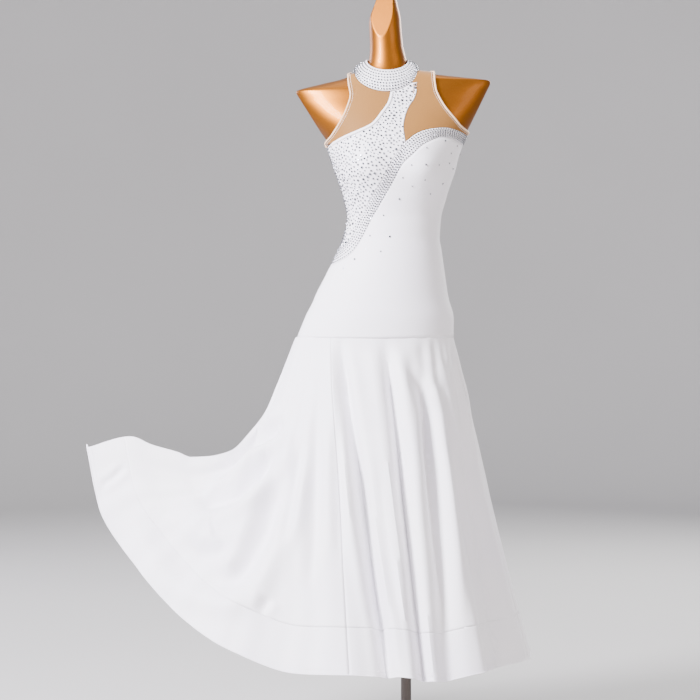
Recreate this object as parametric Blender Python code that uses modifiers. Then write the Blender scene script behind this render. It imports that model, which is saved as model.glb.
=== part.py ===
"""Ballroom dance dress standing on a limbless dress form with a pole and a round base.

Frame: +Z up, the wearer's front faces -Y, +X is the wearer's left. Metres. The origin is the centre
of the base's underside, on the floor. The dress is made of cut panels that all lie on two surfaces:
the torso, worked out from a table of level sections, and the skirt, worked out from its hip seam,
its hem and the ridge along which it is held out to the wearer's right.
"""
import math

import bmesh
import bpy
import numpy as np
from mathutils import Matrix, Vector

# Cloth
CLOTH = 0.0016            # wall of every cloth panel
LIFT = 0.0044             # middle of the cloth above the dress form
CLEAR = 0.0030            # gap between the dress form and the rolled edges
SEAM = 0.0010             # between the edges of neighbouring panels at a seam, before their walls
BINDING_RADIUS = 0.0022   # rolled edge around each armhole
ZIP_HALF_WIDTH = 0.0034   # half of the closed zip's width at the centre back

# Levels
HIP_Z = 0.885             # hip seam, where the skirt's gores are sewn on
SKIRT_DROP = 0.12         # exponent term that makes the skirt hang steeper near the hip
SKIRT_COLUMN = 0.031      # spacing of the skirt's columns of points along the hem
BAND_START = 0.865        # share of the skirt's length where the stiff hem band starts
COLLAR_SIDE_Z = 1.4405    # foot of the stand collar at the sides of the neck
COLLAR_TILT = 0.0020      # how much higher it is on the wearer's left, and lower on the right
COLLAR_FOOT = {"front": 1.394, "back": 1.430}
COLLAR_TOP = {"side": 1.467, "front": 1.441, "back": 1.474}
COLLAR_TOP_RADIUS = {"side": 0.0435, "front": 0.0450, "back": 0.0460}
NECK_X = -0.039
BACK_YOKE_Z = 1.300       # top edge of the white back panels
COLLAR_BOW = 0.006        # how far the collar bows out halfway up
COLLAR_SEAM = 0.0022      # how far the panels below stop short of the collar's foot
COLLAR_SEAM_SHARE = 0.03  # share of the collar's height left open at its foot
UNDERARM_Z = 1.280        # top of the crystal panel at the side seam
CRYSTAL_FOOT_Z = 1.069    # foot of the crystal panel at the side seam
SIDE_SEAM_ANGLE = math.pi / 2 - 0.0025
ARMHOLE_EDGE = BINDING_RADIUS + 1.6 * SEAM   # how far a panel stops short of the armhole's line

# Stand
POLE_RADIUS = 0.0110
BASE_RADIUS = 0.150
BASE_HEIGHT = 0.010
STAND_GAP = 0.0003
FORM_LEVELS = ((0.800, 1.260, 13), (1.285, 1.400, 6), (1.412, 1.466, 6), (1.500, 1.555, 2),
               (1.580, 1.616, 3))         # stretches of level rings: first, last, count

# Zip
ZIP_FOOT_Z = 0.960
ZIP_SEAM_CLOSES = 0.035    # height below the zip over which the centre back seam closes
PULL_PIN = (NECK_X, 0.0563, 1.4560)      # middle of the pull tab's hinge pin
PIN_RADIUS = 0.0005
PIN_LENGTH = 0.0044
PIN_CLEARANCE = 0.00025
SLIDER_BODY = {"size": (0.0062, 0.0028, 0.0085), "from_pin": (0, -0.0035, 0)}
SLIDER_CHEEK = {"size": (0.0009, 0.0042, 0.0030), "aside": 0.0021, "from_pin": (-0.0004, 0)}
PULL_NECK = {"size": (0.0030, 0.0024, 0.0047), "below_pin": 0.00135}
PULL_TAB = {"size": (0.0056, 0.0014, 0.0180), "below_pin": 0.0118}

# Body sections: level, middle, half-widths to the wearer's right and left, depths to front and back
BODY_COLUMNS = ("z", "middle", "right", "left", "front", "back")
BODY = np.array([
    (0.800, -0.045, 0.122, 0.122, 0.096, 0.098),
    (0.860, -0.045, 0.136, 0.139, 0.107, 0.111),
    (0.925, -0.045, 0.140, 0.140, 0.112, 0.116),
    (0.964, -0.045, 0.135, 0.130, 0.108, 0.112),
    (1.014, -0.042, 0.119, 0.119, 0.100, 0.102),
    (1.065, -0.035, 0.103, 0.105, 0.089, 0.082),
    (1.098, -0.029, 0.0955, 0.0945, 0.082, 0.069),
    (1.132, -0.025, 0.0935, 0.0930, 0.081, 0.065),
    (1.182, -0.023, 0.1035, 0.1035, 0.090, 0.071),
    (1.233, -0.023, 0.1205, 0.1205, 0.098, 0.081),
    (1.266, -0.024, 0.131, 0.130, 0.098, 0.085),
    (1.298, -0.024, 0.143, 0.142, 0.092, 0.086),
    (1.340, -0.028, 0.173, 0.168, 0.079, 0.083),
    (1.380, -0.032, 0.193, 0.193, 0.062, 0.071),
    (1.400, -0.034, 0.197, 0.203, 0.055, 0.064),
    (1.417, -0.036, 0.140, 0.213, 0.0475, 0.056),
    (1.424, -0.037, 0.108, 0.214, 0.0450, 0.053),
    (1.430, -0.038, 0.088, 0.165, 0.0430, 0.050),
    (1.440, -0.039, 0.064, 0.074, 0.0405, 0.046),
    (1.450, -0.039, 0.045, 0.042, 0.0390, 0.042),
    (1.465, -0.039, 0.039, 0.040, 0.0370, 0.038),
    (1.500, -0.041, 0.0345, 0.0345, 0.035, 0.035),
    (1.550, -0.044, 0.033, 0.033, 0.033, 0.033),
    (1.585, -0.042, 0.024, 0.024, 0.026, 0.026),
    (1.605, -0.041, 0.017, 0.017, 0.018, 0.018),
    (1.616, -0.041, 0.009, 0.009, 0.009, 0.009),
])
# Bust cups: distance from the middle, level, spread across, spread up and how far they stand out
CUP = {"side": 0.066, "z": 1.238, "across": 0.046, "up": 0.040, "out": 0.020}
# How far the dress stands off the form at the wearer's right hip, where the skirt is pulled out
HIP_FLARE = np.array([(0.885, 0.0400), (0.925, 0.0220), (0.964, 0.0080), (1.014, 0.0025), (1.065, 0.0)])

# Seam lines seen from the front: x, z, from the top down
STRAP_RIGHT_EDGE = [(-0.031, 1.3925), (-0.035, 1.374), (-0.051, 1.348), (-0.070, 1.325), (-0.095, 1.313),
                    (-0.124, 1.302), (-0.150, 1.290)]
STRAP_LEFT_EDGE = [(0.0235, 1.4145), (0.021, 1.395), (0.016, 1.378), (0.006, 1.362), (-0.002, 1.342),
                   (-0.006, 1.319), (-0.002, 1.285)]
BORDER_TOP = [(0.126, 1.309), (0.104, 1.316), (0.081, 1.319), (0.056, 1.316), (0.025, 1.306),
              (-0.002, 1.285)]
BORDER_DIAGONAL = [(-0.002, 1.285), (-0.031, 1.243), (-0.047, 1.213), (-0.064, 1.183), (-0.078, 1.159),
                   (-0.091, 1.133), (-0.101, 1.111), (-0.114, 1.088), (-0.128, 1.072), (-0.1405, 1.064)]
BORDER_FOOT = [(0.1205, 1.287), (0.108, 1.294), (0.087, 1.300), (0.072, 1.300), (0.049, 1.290),
               (0.031, 1.277), (0.014, 1.260), (-0.008, 1.239), (-0.027, 1.206), (-0.045, 1.174),
               (-0.068, 1.132), (-0.091, 1.085), (-0.107, 1.061), (-0.126, 1.046), (-0.144, 1.038),
               (-0.156, 1.033)]
ARMHOLE = {
    "right": [(-0.119, 1.430), (-0.119, 1.420), (-0.116, 1.400), (-0.114, 1.388), (-0.122, 1.356),
              (-0.134, 1.331), (-0.153, 1.304), (-0.168, 1.291)],
    "left": [(0.057, 1.436), (0.058, 1.425), (0.061, 1.400), (0.069, 1.380), (0.081, 1.360),
             (0.098, 1.340), (0.114, 1.323), (0.127, 1.316)],
}
SHOULDER_TOP_Z = {"right": 1.4350, "left": 1.4376}
ARMHOLE_FOOT_Z = {"right": 1.286, "left": 1.3135}

# Hem stations from the held tip round the front and back to the tip: angle of the same thread
# at the hip, and the hem's place
HEM_COLUMNS = ("hip_deg", "x", "y", "z")
HEM = np.array([
    (-90, -0.670, 0.000, 0.655), (-84, -0.636, -0.030, 0.524), (-76, -0.558, -0.080, 0.420),
    (-66, -0.447, -0.150, 0.317), (-57, -0.343, -0.200, 0.261), (-46, -0.209, -0.250, 0.226),
    (-37, -0.110, -0.275, 0.228), (-29, -0.037, -0.280, 0.228), (0, 0.035, -0.280, 0.221),
    (18, 0.076, -0.270, 0.217), (40, 0.126, -0.240, 0.221), (62, 0.185, -0.170, 0.223),
    (90, 0.258, -0.020, 0.221), (108, 0.238, 0.130, 0.222), (128, 0.165, 0.240, 0.222),
    (155, 0.050, 0.290, 0.222), (180, -0.070, 0.288, 0.222), (205, -0.190, 0.262, 0.228),
    (225, -0.310, 0.212, 0.260), (240, -0.420, 0.155, 0.315), (252, -0.530, 0.095, 0.400),
    (262, -0.615, 0.045, 0.505), (270, -0.670, 0.000, 0.655),
])
# Ridge of the held-out side: share of the skirt's length, x, z
RIDGE = np.array([
    (0.00, -0.2268, 0.8850), (0.16, -0.2625, 0.7958), (0.315, -0.3003, 0.7118), (0.39, -0.3276, 0.6782),
    (0.478, -0.3696, 0.6446), (0.557, -0.4158, 0.6352), (0.62, -0.4536, 0.6341), (0.669, -0.4809, 0.6446),
    (0.768, -0.5376, 0.6614), (0.843, -0.5796, 0.6782), (1.00, -0.6699, 0.6551),
])
RIDGE_REACH = 0.34        # hem distance over which the ridge's sag fades into the skirt
# Largest folds: place along the hem as a hip angle, share of length where it starts, half-width at
# the hem and depth at the hem, negative for a valley
FOLDS = [
    {"hip_deg": -58, "start": 0.30, "half_width": 0.070, "depth": 0.016},
    {"hip_deg": -29, "start": 0.00, "half_width": 0.034, "depth": -0.034},
    {"hip_deg": -14, "start": 0.05, "half_width": 0.026, "depth": 0.012},
    {"hip_deg": 0, "start": 0.00, "half_width": 0.030, "depth": -0.032},
    {"hip_deg": 26, "start": 0.03, "half_width": 0.034, "depth": -0.028},
    {"hip_deg": 66, "start": 0.03, "half_width": 0.040, "depth": -0.022},
    {"hip_deg": 112, "start": 0.06, "half_width": 0.040, "depth": -0.026},
    {"hip_deg": 140, "start": 0.03, "half_width": 0.042, "depth": -0.034},
    {"hip_deg": 166, "start": 0.05, "half_width": 0.038, "depth": -0.030},
    {"hip_deg": 196, "start": 0.04, "half_width": 0.042, "depth": -0.034},
    {"hip_deg": 222, "start": 0.10, "half_width": 0.050, "depth": -0.024},
    {"hip_deg": 246, "start": 0.32, "half_width": 0.070, "depth": 0.014},
]
# Gores, each from one seam to the next round the hip; the first wraps the held-out ridge
GORE_SEAMS_DEG = {"skirt_held_side": (-108, -37), "skirt_front": (-37, 82),
                  "skirt_back_left": (82, 180), "skirt_back_right": (180, 252)}

WHITE = (0.86, 0.85, 0.87, 1.0)
NUDE = (0.62, 0.40, 0.20, 1.0)
GOLD = (0.48, 0.20, 0.04, 1.0)
STEEL = (0.06, 0.05, 0.05, 1.0)


def material(name, colour, roughness, metallic=0.0):
    """A Principled material."""
    made = bpy.data.materials.new(name)
    made.use_nodes = True
    shader = made.node_tree.nodes["Principled BSDF"]
    shader.inputs["Base Color"].default_value = colour
    shader.inputs["Roughness"].default_value = roughness
    shader.inputs["Metallic"].default_value = metallic
    return made


def smooth(xs, ys, x):
    """Value at x on the curve that runs through (xs, ys) without overshooting between points."""
    xs, ys, x = (np.asarray(values, dtype=float) for values in (xs, ys, x))
    step = np.diff(xs)
    rise = np.diff(ys) / step
    slope = np.concatenate([[rise[0]], np.zeros(len(xs) - 2), [rise[-1]]])
    agree = rise[:-1] * rise[1:] > 0
    both = np.where(agree, rise[:-1] + rise[1:], 1.0)
    slope[1:-1] = np.where(agree, 2 * rise[:-1] * rise[1:] / both, 0.0)
    i = np.clip(np.searchsorted(xs, x) - 1, 0, len(xs) - 2)
    t = np.clip((x - xs[i]) / step[i], 0.0, 1.0)
    return (ys[i] * (1 + 2 * t) * (1 - t) ** 2 + slope[i] * step[i] * t * (1 - t) ** 2
            + ys[i + 1] * t * t * (3 - 2 * t) + slope[i + 1] * step[i] * t * t * (t - 1))


def section(z):
    """Middle, half-widths and depths of the body at level z."""
    return [smooth(BODY[:, 0], BODY[:, column], z) for column in range(1, len(BODY_COLUMNS))]


def flare(z):
    """Extra half-width of the dress at the pulled-out hip."""
    return np.where(z < HIP_FLARE[-1, 0], smooth(HIP_FLARE[:, 0], HIP_FLARE[:, 1], z), 0.0)


def body_point(angle, z, dress=True):
    """Point of the torso at an angle from the front middle, positive to the wearer's left."""
    middle, right, left, front, back = section(z)
    across, ahead = np.sin(angle), np.cos(angle)
    side = np.where(across < 0, right + (flare(z) if dress else 0.0), left)
    depth = np.where(ahead > 0, front, back)
    x = middle + side * across
    lobes = sum(np.exp(-((x - middle - way * CUP["side"]) / CUP["across"]) ** 2) for way in (-1, 1))
    swell = CUP["out"] * lobes * np.exp(-((z - CUP["z"]) / CUP["up"]) ** 2) * np.clip(ahead * 2, 0, 1)
    return np.stack([x, -depth * ahead - swell, z + 0 * angle], axis=-1)


def lifted(surface, u, v, lift, du=1e-4, dv=1e-4):
    """Points of a surface moved out along its normal."""
    across = surface(u + du, v) - surface(u - du, v)
    along = surface(u, v + dv) - surface(u, v - dv)
    normal = np.cross(across, along)
    normal /= np.linalg.norm(normal, axis=-1, keepdims=True)
    return surface(u, v) + normal * np.asarray(lift)[..., None]


def on_torso(angle, z, lift=LIFT):
    """Point on the dress's bodice."""
    return lifted(body_point, angle, z, lift)


def angle_at(x, z, back=False):
    """Angle of the torso's point seen at (x, z) from the front, or through it on the back."""
    middle, right, left, _, _ = section(z)
    offset = x - middle
    reach = np.where(offset < 0, right + flare(z), left)
    angle = np.arcsin(np.clip(offset / reach, -1, 1))
    return np.where(offset < 0, -np.pi - angle, np.pi - angle) if back else angle


def along_line(points):
    """Distance from the start of a line at each of its points."""
    return np.concatenate([[0], np.cumsum(np.linalg.norm(np.diff(points, axis=0), axis=1))])


def thread(points, count, back=False):
    """Angle and level pairs, evenly spaced on the torso, along a line given as seen from the front."""
    points = np.array(points)
    along = along_line(points)
    at = np.linspace(0, along[-1], 240)
    x, z = (smooth(along, points[:, column], at) for column in (0, 1))
    return even(np.stack([angle_at(x, z, back), z], axis=1), count)


def even(pairs, count):
    """Angle and level pairs, evenly spaced on the torso, along a line of them."""
    spaced = along_line(body_point(*pairs.T))
    at = np.linspace(0, spaced[-1], count)
    return np.stack([np.interp(at, spaced, values) for values in pairs.T], axis=1)


def shifted(pairs, distance):
    """A line on the torso moved over the surface, to its right as it runs, seen from outside."""
    angle, z = pairs.T
    step = 1e-4
    across = (body_point(angle + step, z) - body_point(angle - step, z)) / (2 * step)
    up = (body_point(angle, z + step) - body_point(angle, z - step)) / (2 * step)
    side = np.cross(np.gradient(body_point(angle, z), axis=0), np.cross(across, up))
    move = side / np.linalg.norm(side, axis=1, keepdims=True) * distance
    aa, ab, bb = ((p * q).sum(axis=1) for p, q in ((across, across), (across, up), (up, up)))
    am, bm = ((p * move).sum(axis=1) for p in (across, up))
    spread = aa * bb - ab * ab
    return pairs + np.stack([(bb * am - ab * bm) / spread, (aa * bm - ab * am) / spread], axis=1)


def edge(points, count, shift, back=False):
    """A panel's edge: a seam line, evenly spaced, then moved sideways off the seam."""
    pairs = shifted(thread(points, count, back), shift)
    if not back:
        pairs[:, 0] = np.clip(pairs[:, 0], -SIDE_SEAM_ANGLE, SIDE_SEAM_ANGLE)
    return pairs


def patch(right, left, across, top=None, bottom=None):
    """Grid between two side edges and, where given, curved ends that start and finish at the side
    edges' own ends. across holds each column's share of the way from the right edge to the left."""
    down = np.linspace(0, 1, len(right))[:, None, None]
    across = across[None, :, None]
    grid = right[:, None] * (1 - across) + left[:, None] * across
    for end, row, fade in ((top, 0, 1 - down), (bottom, -1, down)):
        if end is not None:
            grid = grid + fade * (end - grid[row])[None]
    return grid


def yoke_patch(right, left, across, top, bottom=None, back=False):
    """A patch whose threads run straight as seen from the front, for the panels over the shoulders."""
    flat = [None if pairs is None else np.stack([body_point(*pairs.T)[:, 0], pairs[:, 1]], axis=1)
            for pairs in (right, left, top, bottom)]
    grid = patch(*flat[:2], across, *flat[2:])
    return np.stack([angle_at(grid[..., 0], grid[..., 1], back), grid[..., 1]], axis=-1)


def sheet(name, points, look, thickness=CLOTH):
    """A cloth panel: a grid of points along its middle, given a wall with Solidify."""
    rows, columns = points.shape[:2]
    bm = bmesh.new()
    bmesh.ops.create_grid(bm, x_segments=columns - 1, y_segments=rows - 1, size=0.5)
    for vertex in bm.verts:
        column = round((vertex.co.x + 0.5) * (columns - 1))
        row = round((0.5 - vertex.co.y) * (rows - 1))
        vertex.co = Vector(points[row, column])
    panel = add_mesh(name, bm, look)
    wall = panel.modifiers.new("Wall", "SOLIDIFY")
    wall.thickness = thickness
    wall.offset = 0.0
    return panel


def add_mesh(name, bm, look):
    """Turn a bmesh into a smooth-shaded object of the dress."""
    mesh = bpy.data.meshes.new(name)
    bm.to_mesh(mesh)
    bm.free()
    mesh.shade_smooth()
    mesh.set_sharp_from_angle(angle=math.radians(50))
    made = bpy.data.objects.new(name, mesh)
    made.data.materials.append(look)
    PARTS.objects.link(made)
    return made


def torso_sheet(name, grid, look):
    """A cloth panel on the torso from its angle and level pairs."""
    return sheet(name, on_torso(grid[..., 0], grid[..., 1]), look)


# Skirt surface

HEM_STEPS = np.linalg.norm(np.diff(HEM[:, 1:], axis=0), axis=1)
HEM_AT = np.concatenate([[0], np.cumsum(HEM_STEPS)])      # distance along the hem at each station
HEM_LENGTH = HEM_AT[-1]


def hem_distance(hip_deg):
    """Distance along the hem of the thread that leaves the hip at an angle."""
    turns = np.floor((hip_deg + 90) / 360)
    return smooth(HEM[:, 0], HEM_AT, hip_deg - 360 * turns) + turns * HEM_LENGTH


def skirt_base(along, down):
    """Skirt before its folds, at a distance along the hem and a share of its length."""
    along = np.mod(along, HEM_LENGTH)
    angle = np.radians(smooth(HEM_AT, HEM[:, 0], along))
    hip = body_point(angle, HIP_Z + 0 * angle)
    hem = np.stack([smooth(HEM_AT, HEM[:, column], along) for column in (1, 2, 3)], axis=-1)
    out, fall = np.sign(down) * np.abs(down) ** (1 + SKIRT_DROP), down
    share = np.stack([out, out, fall], axis=-1)
    from_ridge = np.minimum(along, HEM_LENGTH - along)
    right_hip = body_point(np.array(-math.pi / 2), np.array(HIP_Z))
    straight = right_hip * (1 - share) + HEM[0, 1:] * share
    sag_x = smooth(RIDGE[:, 0], RIDGE[:, 1], down) - straight[..., 0]
    sag_z = smooth(RIDGE[:, 0], RIDGE[:, 2], down) - straight[..., 2]
    sag = np.stack([sag_x, 0 * sag_x, sag_z], axis=-1)
    return hip * (1 - share) + hem * share + sag * np.exp(-(from_ridge / RIDGE_REACH) ** 2)[..., None]


def fold_depth(along, down):
    """How far the folds move the skirt out."""
    total = 0.0 * along
    for fold in FOLDS:
        away = along - hem_distance(fold["hip_deg"])
        away -= HEM_LENGTH * np.round(away / HEM_LENGTH)
        grown = np.clip((down - fold["start"]) / (1 - fold["start"]), 0, 1)
        width = fold["half_width"] * (0.55 + 0.45 * grown)
        total = total + fold["depth"] * grown ** 0.7 * np.exp(-(away / width) ** 2)
    return total


def on_skirt(along, down):
    """Point on the skirt with its folds."""
    return lifted(lambda u, v: skirt_base(u, -v), along, -down, fold_depth(along, down) + LIFT)


def build_skirt(white):
    """The gores and the stiff band along their hem."""
    for name, (first_deg, last_deg) in GORE_SEAMS_DEG.items():
        first, last = hem_distance(first_deg) + SEAM / 2, hem_distance(last_deg) - SEAM / 2
        across = np.linspace(first, last, round((last - first) / SKIRT_COLUMN) + 1)
        gap = SEAM / 0.65
        band = name.replace("skirt", "hem_band")
        for piece, top, bottom, rows in ((name, gap, BAND_START, 10), (band, BAND_START + gap, 1.0, 3)):
            down = np.linspace(top, bottom, rows)
            points = on_skirt(*np.meshgrid(across, down))
            sheet(piece, points, white)


# Bodice

def collar_foot(turn):
    """Angle and level of the collar's foot, where it is sewn to the bodice, at a turn round the neck."""
    across, ahead = np.sin(turn), np.cos(turn)
    middle, right, _, _, _ = section(np.full_like(turn, COLLAR_SIDE_Z - COLLAR_TILT))
    _, _, left, _, _ = section(np.full_like(turn, COLLAR_SIDE_Z + COLLAR_TILT))
    far = np.where(ahead > 0, COLLAR_FOOT["front"], COLLAR_FOOT["back"])
    near = COLLAR_SIDE_Z + COLLAR_TILT * across
    z = near + (far - near) * np.abs(ahead)
    x = middle + np.where(across < 0, right, left) * across
    angle = np.where(ahead > 0, angle_at(x, z), angle_at(x, z, back=True))
    return np.stack([angle, z], axis=-1)


def collar_points(turn, up):
    """Middle of the collar's wall at a turn round the neck and a share of its height."""
    across, ahead = np.sin(turn), np.cos(turn)
    foot = collar_foot(turn)
    low = on_torso(foot[..., 0], foot[..., 1])
    depth = np.where(ahead > 0, COLLAR_TOP_RADIUS["front"], COLLAR_TOP_RADIUS["back"])
    far = np.where(ahead > 0, COLLAR_TOP["front"], COLLAR_TOP["back"])
    high = np.stack([NECK_X + COLLAR_TOP_RADIUS["side"] * across, -depth * ahead,
                     COLLAR_TOP["side"] + (far - COLLAR_TOP["side"]) * np.abs(ahead)], axis=-1)
    bow = COLLAR_BOW * np.sin(math.pi * up)
    out = np.stack([across * bow, -ahead * bow, 0 * bow], axis=-1)
    return low * (1 - up[..., None]) + high * up[..., None] + out


def build_collar(white):
    """The stand collar, open at the centre back for the zip."""
    opening = ZIP_HALF_WIDTH + 2 * SEAM
    end = math.pi - opening / COLLAR_TOP_RADIUS["side"]
    turn, up = np.meshgrid(np.linspace(-end, end, 37), np.linspace(1, COLLAR_SEAM_SHARE, 4))
    sheet("collar", collar_points(turn, up), white)


def under_collar(start, end, first_deg, last_deg, count):
    """A panel's top edge: from its corner, just below a stretch of the collar's foot, to its corner."""
    turns = np.radians(np.linspace(first_deg, last_deg, 24))
    way = 1 if last_deg > first_deg else -1
    foot = shifted(collar_foot(turns), way * COLLAR_SEAM)
    return even(np.concatenate([[start], foot, [end]]), count)


def side_line(way, top, bottom, count):
    """Side seam's edge straight down the torso on the wearer's right (-1) or left (1)."""
    return np.stack([np.full(count, way * SIDE_SEAM_ANGLE), np.linspace(top, bottom, count)], axis=1)


def build_front(white, nude):
    """Crystal panel with its strap, crystal border, cup and front panel, and the two mesh yokes."""
    strap_rows, diagonal_rows, top_rows, foot_columns = 11, 18, 12, 29
    half = SEAM / 2
    inner, outer = ({name: edge(points, rows, way * shift) for name, points, rows, shift in (
        ("strap left", STRAP_LEFT_EDGE, strap_rows, 1.5 * SEAM),
        ("strap right", STRAP_RIGHT_EDGE, strap_rows + 4, half),
        ("top", BORDER_TOP, top_rows, 2 * half), ("diagonal", BORDER_DIAGONAL, diagonal_rows, half),
        ("foot", BORDER_FOOT, foot_columns, half))} for way in (1, -1))

    left = np.concatenate([inner["strap left"], inner["diagonal"][1:]])
    strap = outer["strap right"]
    underarm = np.linspace(strap[-1], (-SIDE_SEAM_ANGLE, UNDERARM_Z), 5)[1:]
    below = side_line(-1, UNDERARM_Z, CRYSTAL_FOOT_Z, len(left) - len(strap) - len(underarm) + 1)[1:]
    right = np.concatenate([strap, underarm, below])
    top = under_collar(right[0], left[0], 10, 50, 11)
    torso_sheet("crystal_panel", patch(right, left, np.linspace(0, 1, 11), top=top), white)

    high = np.concatenate([outer["top"], outer["diagonal"][1:]])
    torso_sheet("crystal_border", patch(high, inner["foot"], np.linspace(0, 1, 4)), white)

    seam, rows = outer["foot"], 14
    hip = np.stack([seam[:, 0], np.full(foot_columns, HIP_Z + SEAM)], axis=1)
    down = np.linspace(0, 1, rows)[:, None, None]
    torso_sheet("front_panel", (seam * (1 - down) + hip * down)[:, ::-1], white)

    armhole = edge(ARMHOLE["right"], strap_rows + 4, -ARMHOLE_EDGE)
    top = under_collar(armhole[0], inner["strap right"][0], -84, 2, 13)
    torso_sheet("mesh_front_right",
                yoke_patch(armhole, inner["strap right"], np.linspace(0, 1, 13), top), nude)

    bottom = inner["top"][::-1]
    armhole = edge(ARMHOLE["left"], strap_rows, ARMHOLE_EDGE)
    bottom[0], bottom[-1] = outer["strap left"][-1], armhole[-1]
    top = under_collar(outer["strap left"][0], armhole[0], 80, 86, top_rows)
    torso_sheet("mesh_front_left", yoke_patch(outer["strap left"], armhole, np.linspace(0, 1, top_rows),
                                              top, bottom), nude)


def back_seam(way, top, bottom, count):
    """The centre back edge of one side's panels: beside the zip, and below it closed to a seam."""
    levels = np.linspace(top, bottom, count)
    middle, right, left, _, _ = section(levels)
    reach = right if way < 0 else left
    apart = np.interp(levels, (ZIP_FOOT_Z - ZIP_SEAM_CLOSES, ZIP_FOOT_Z - 3 * SEAM),
                      (SEAM / 2, ZIP_HALF_WIDTH + SEAM))
    across = NECK_X - middle + way * apart
    return np.stack([way * math.pi - np.arcsin(across / reach), levels], axis=1)


def build_back(white, nude):
    """White back panels up to the shoulder blades and a mesh yoke above, either side of the zip."""
    rows, columns, yoke_rows = 16, 11, 12
    for side, way in (("right", -1), ("left", 1)):
        middle = back_seam(way, BACK_YOKE_Z, HIP_Z + SEAM, rows)
        outer = side_line(way, ARMHOLE_FOOT_Z[side] - ARMHOLE_EDGE, HIP_Z + SEAM, rows)
        outer[:, 0] += 2 * way * (math.pi / 2 - SIDE_SEAM_ANGLE)
        # seen from outside, the wearer's left panel runs from its side seam to the middle
        edges = (outer, middle) if way > 0 else (middle, outer)
        torso_sheet("back_" + side, patch(*edges, np.linspace(0, 1, columns)), white)

        armhole = edge(ARMHOLE[side][:-1], 30, -way * ARMHOLE_EDGE, back=True)
        corner = outer[0] + (way * 16 * ARMHOLE_EDGE, 0.5 * ARMHOLE_EDGE)
        armhole = even(np.concatenate([armhole, [corner]]), yoke_rows)
        middle = back_seam(way, COLLAR_FOOT["back"] - COLLAR_SEAM, BACK_YOKE_Z + SEAM, yoke_rows)
        yoke = np.linspace(corner, middle[-1], columns)
        top = under_collar(armhole[0], middle[0], way * 96, way * 172, columns)
        # columns are closer together near the armhole, where the body turns away
        across = 1 - np.cos(np.linspace(0, math.pi / 2, columns))
        grid = yoke_patch(armhole, middle, across, top, yoke, back=True)
        torso_sheet("mesh_back_" + side, grid[:, ::way], nude)


def build_bindings(nude):
    """A rolled nude edge round each armhole, a closed tube on the dress's surface."""
    for side, way in (("right", -1), ("left", 1)):
        shoulder = np.array([(way * math.pi / 2, SHOULDER_TOP_Z[side])])
        foot = np.array([(way * math.pi / 2, ARMHOLE_FOOT_Z[side])])
        front, back = (thread(ARMHOLE[side], 60, behind) for behind in (False, True))
        loop = even(np.concatenate([shoulder, front, foot, back[::-1], shoulder]), 41)[:-1]
        points = on_torso(loop[:, 0], loop[:, 1], BINDING_RADIUS + CLEAR)
        curve = bpy.data.curves.new("binding_" + side, "CURVE")
        curve.dimensions = "3D"
        curve.bevel_depth = BINDING_RADIUS
        curve.bevel_resolution = 1
        spline = curve.splines.new("POLY")
        spline.points.add(len(points) - 1)
        for control, point in zip(spline.points, points):
            control.co = (*point, 1.0)
        spline.use_cyclic_u = True
        binding = bpy.data.objects.new("binding_" + side, curve)
        binding.data.materials.append(nude)
        PARTS.objects.link(binding)


def zip_point(across, z):
    """Middle of the zip's tapes: on the bodice below the collar and on the collar above its foot."""
    middle, right, left, _, _ = section(z)
    offset = NECK_X - middle + across
    angle = math.pi - np.arcsin(offset / np.where(offset < 0, right, left))
    low = on_torso(angle, np.minimum(z, COLLAR_FOOT["back"]))
    share = np.clip((z - COLLAR_FOOT["back"]) / (COLLAR_TOP["back"] - COLLAR_FOOT["back"]), 0, 1)
    high = np.stack([NECK_X + across, COLLAR_TOP_RADIUS["back"] + 0 * z,
                     COLLAR_TOP["back"] + 0 * z], axis=-1)
    return np.where(share[..., None] > 0, low * (1 - share[..., None]) + high * share[..., None], low)


def boolean(target, other, operation):
    """Join to or cut from an object, and leave the modifier's result in its mesh."""
    cut = target.modifiers.new(operation.title(), "BOOLEAN")
    cut.operation = operation
    cut.object = other
    cut.solver = "EXACT"
    mesh = bpy.data.meshes.new_from_object(target.evaluated_get(bpy.context.evaluated_depsgraph_get()))
    target.modifiers.clear()
    target.data = mesh
    bpy.data.objects.remove(other, do_unlink=True)


def block(name, size, place, look):
    """A box of a size, centred at a place."""
    bm = bmesh.new()
    bmesh.ops.create_cube(bm, size=1.0)
    bmesh.ops.scale(bm, vec=size, verts=bm.verts)
    bmesh.ops.translate(bm, vec=place, verts=bm.verts)
    return add_mesh(name, bm, look)


def rod(name, radius, length, place, axis, look, segments=16):
    """A cylinder centred at a place along X or Z."""
    bm = bmesh.new()
    bmesh.ops.create_cone(bm, cap_ends=True, segments=segments, radius1=radius, radius2=radius,
                          depth=length)
    turned = Matrix.Rotation(math.pi / 2, 4, "Y") if axis == "X" else Matrix.Identity(4)
    bmesh.ops.transform(bm, matrix=Matrix.Translation(place) @ turned, verts=bm.verts)
    return add_mesh(name, bm, look)


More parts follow.
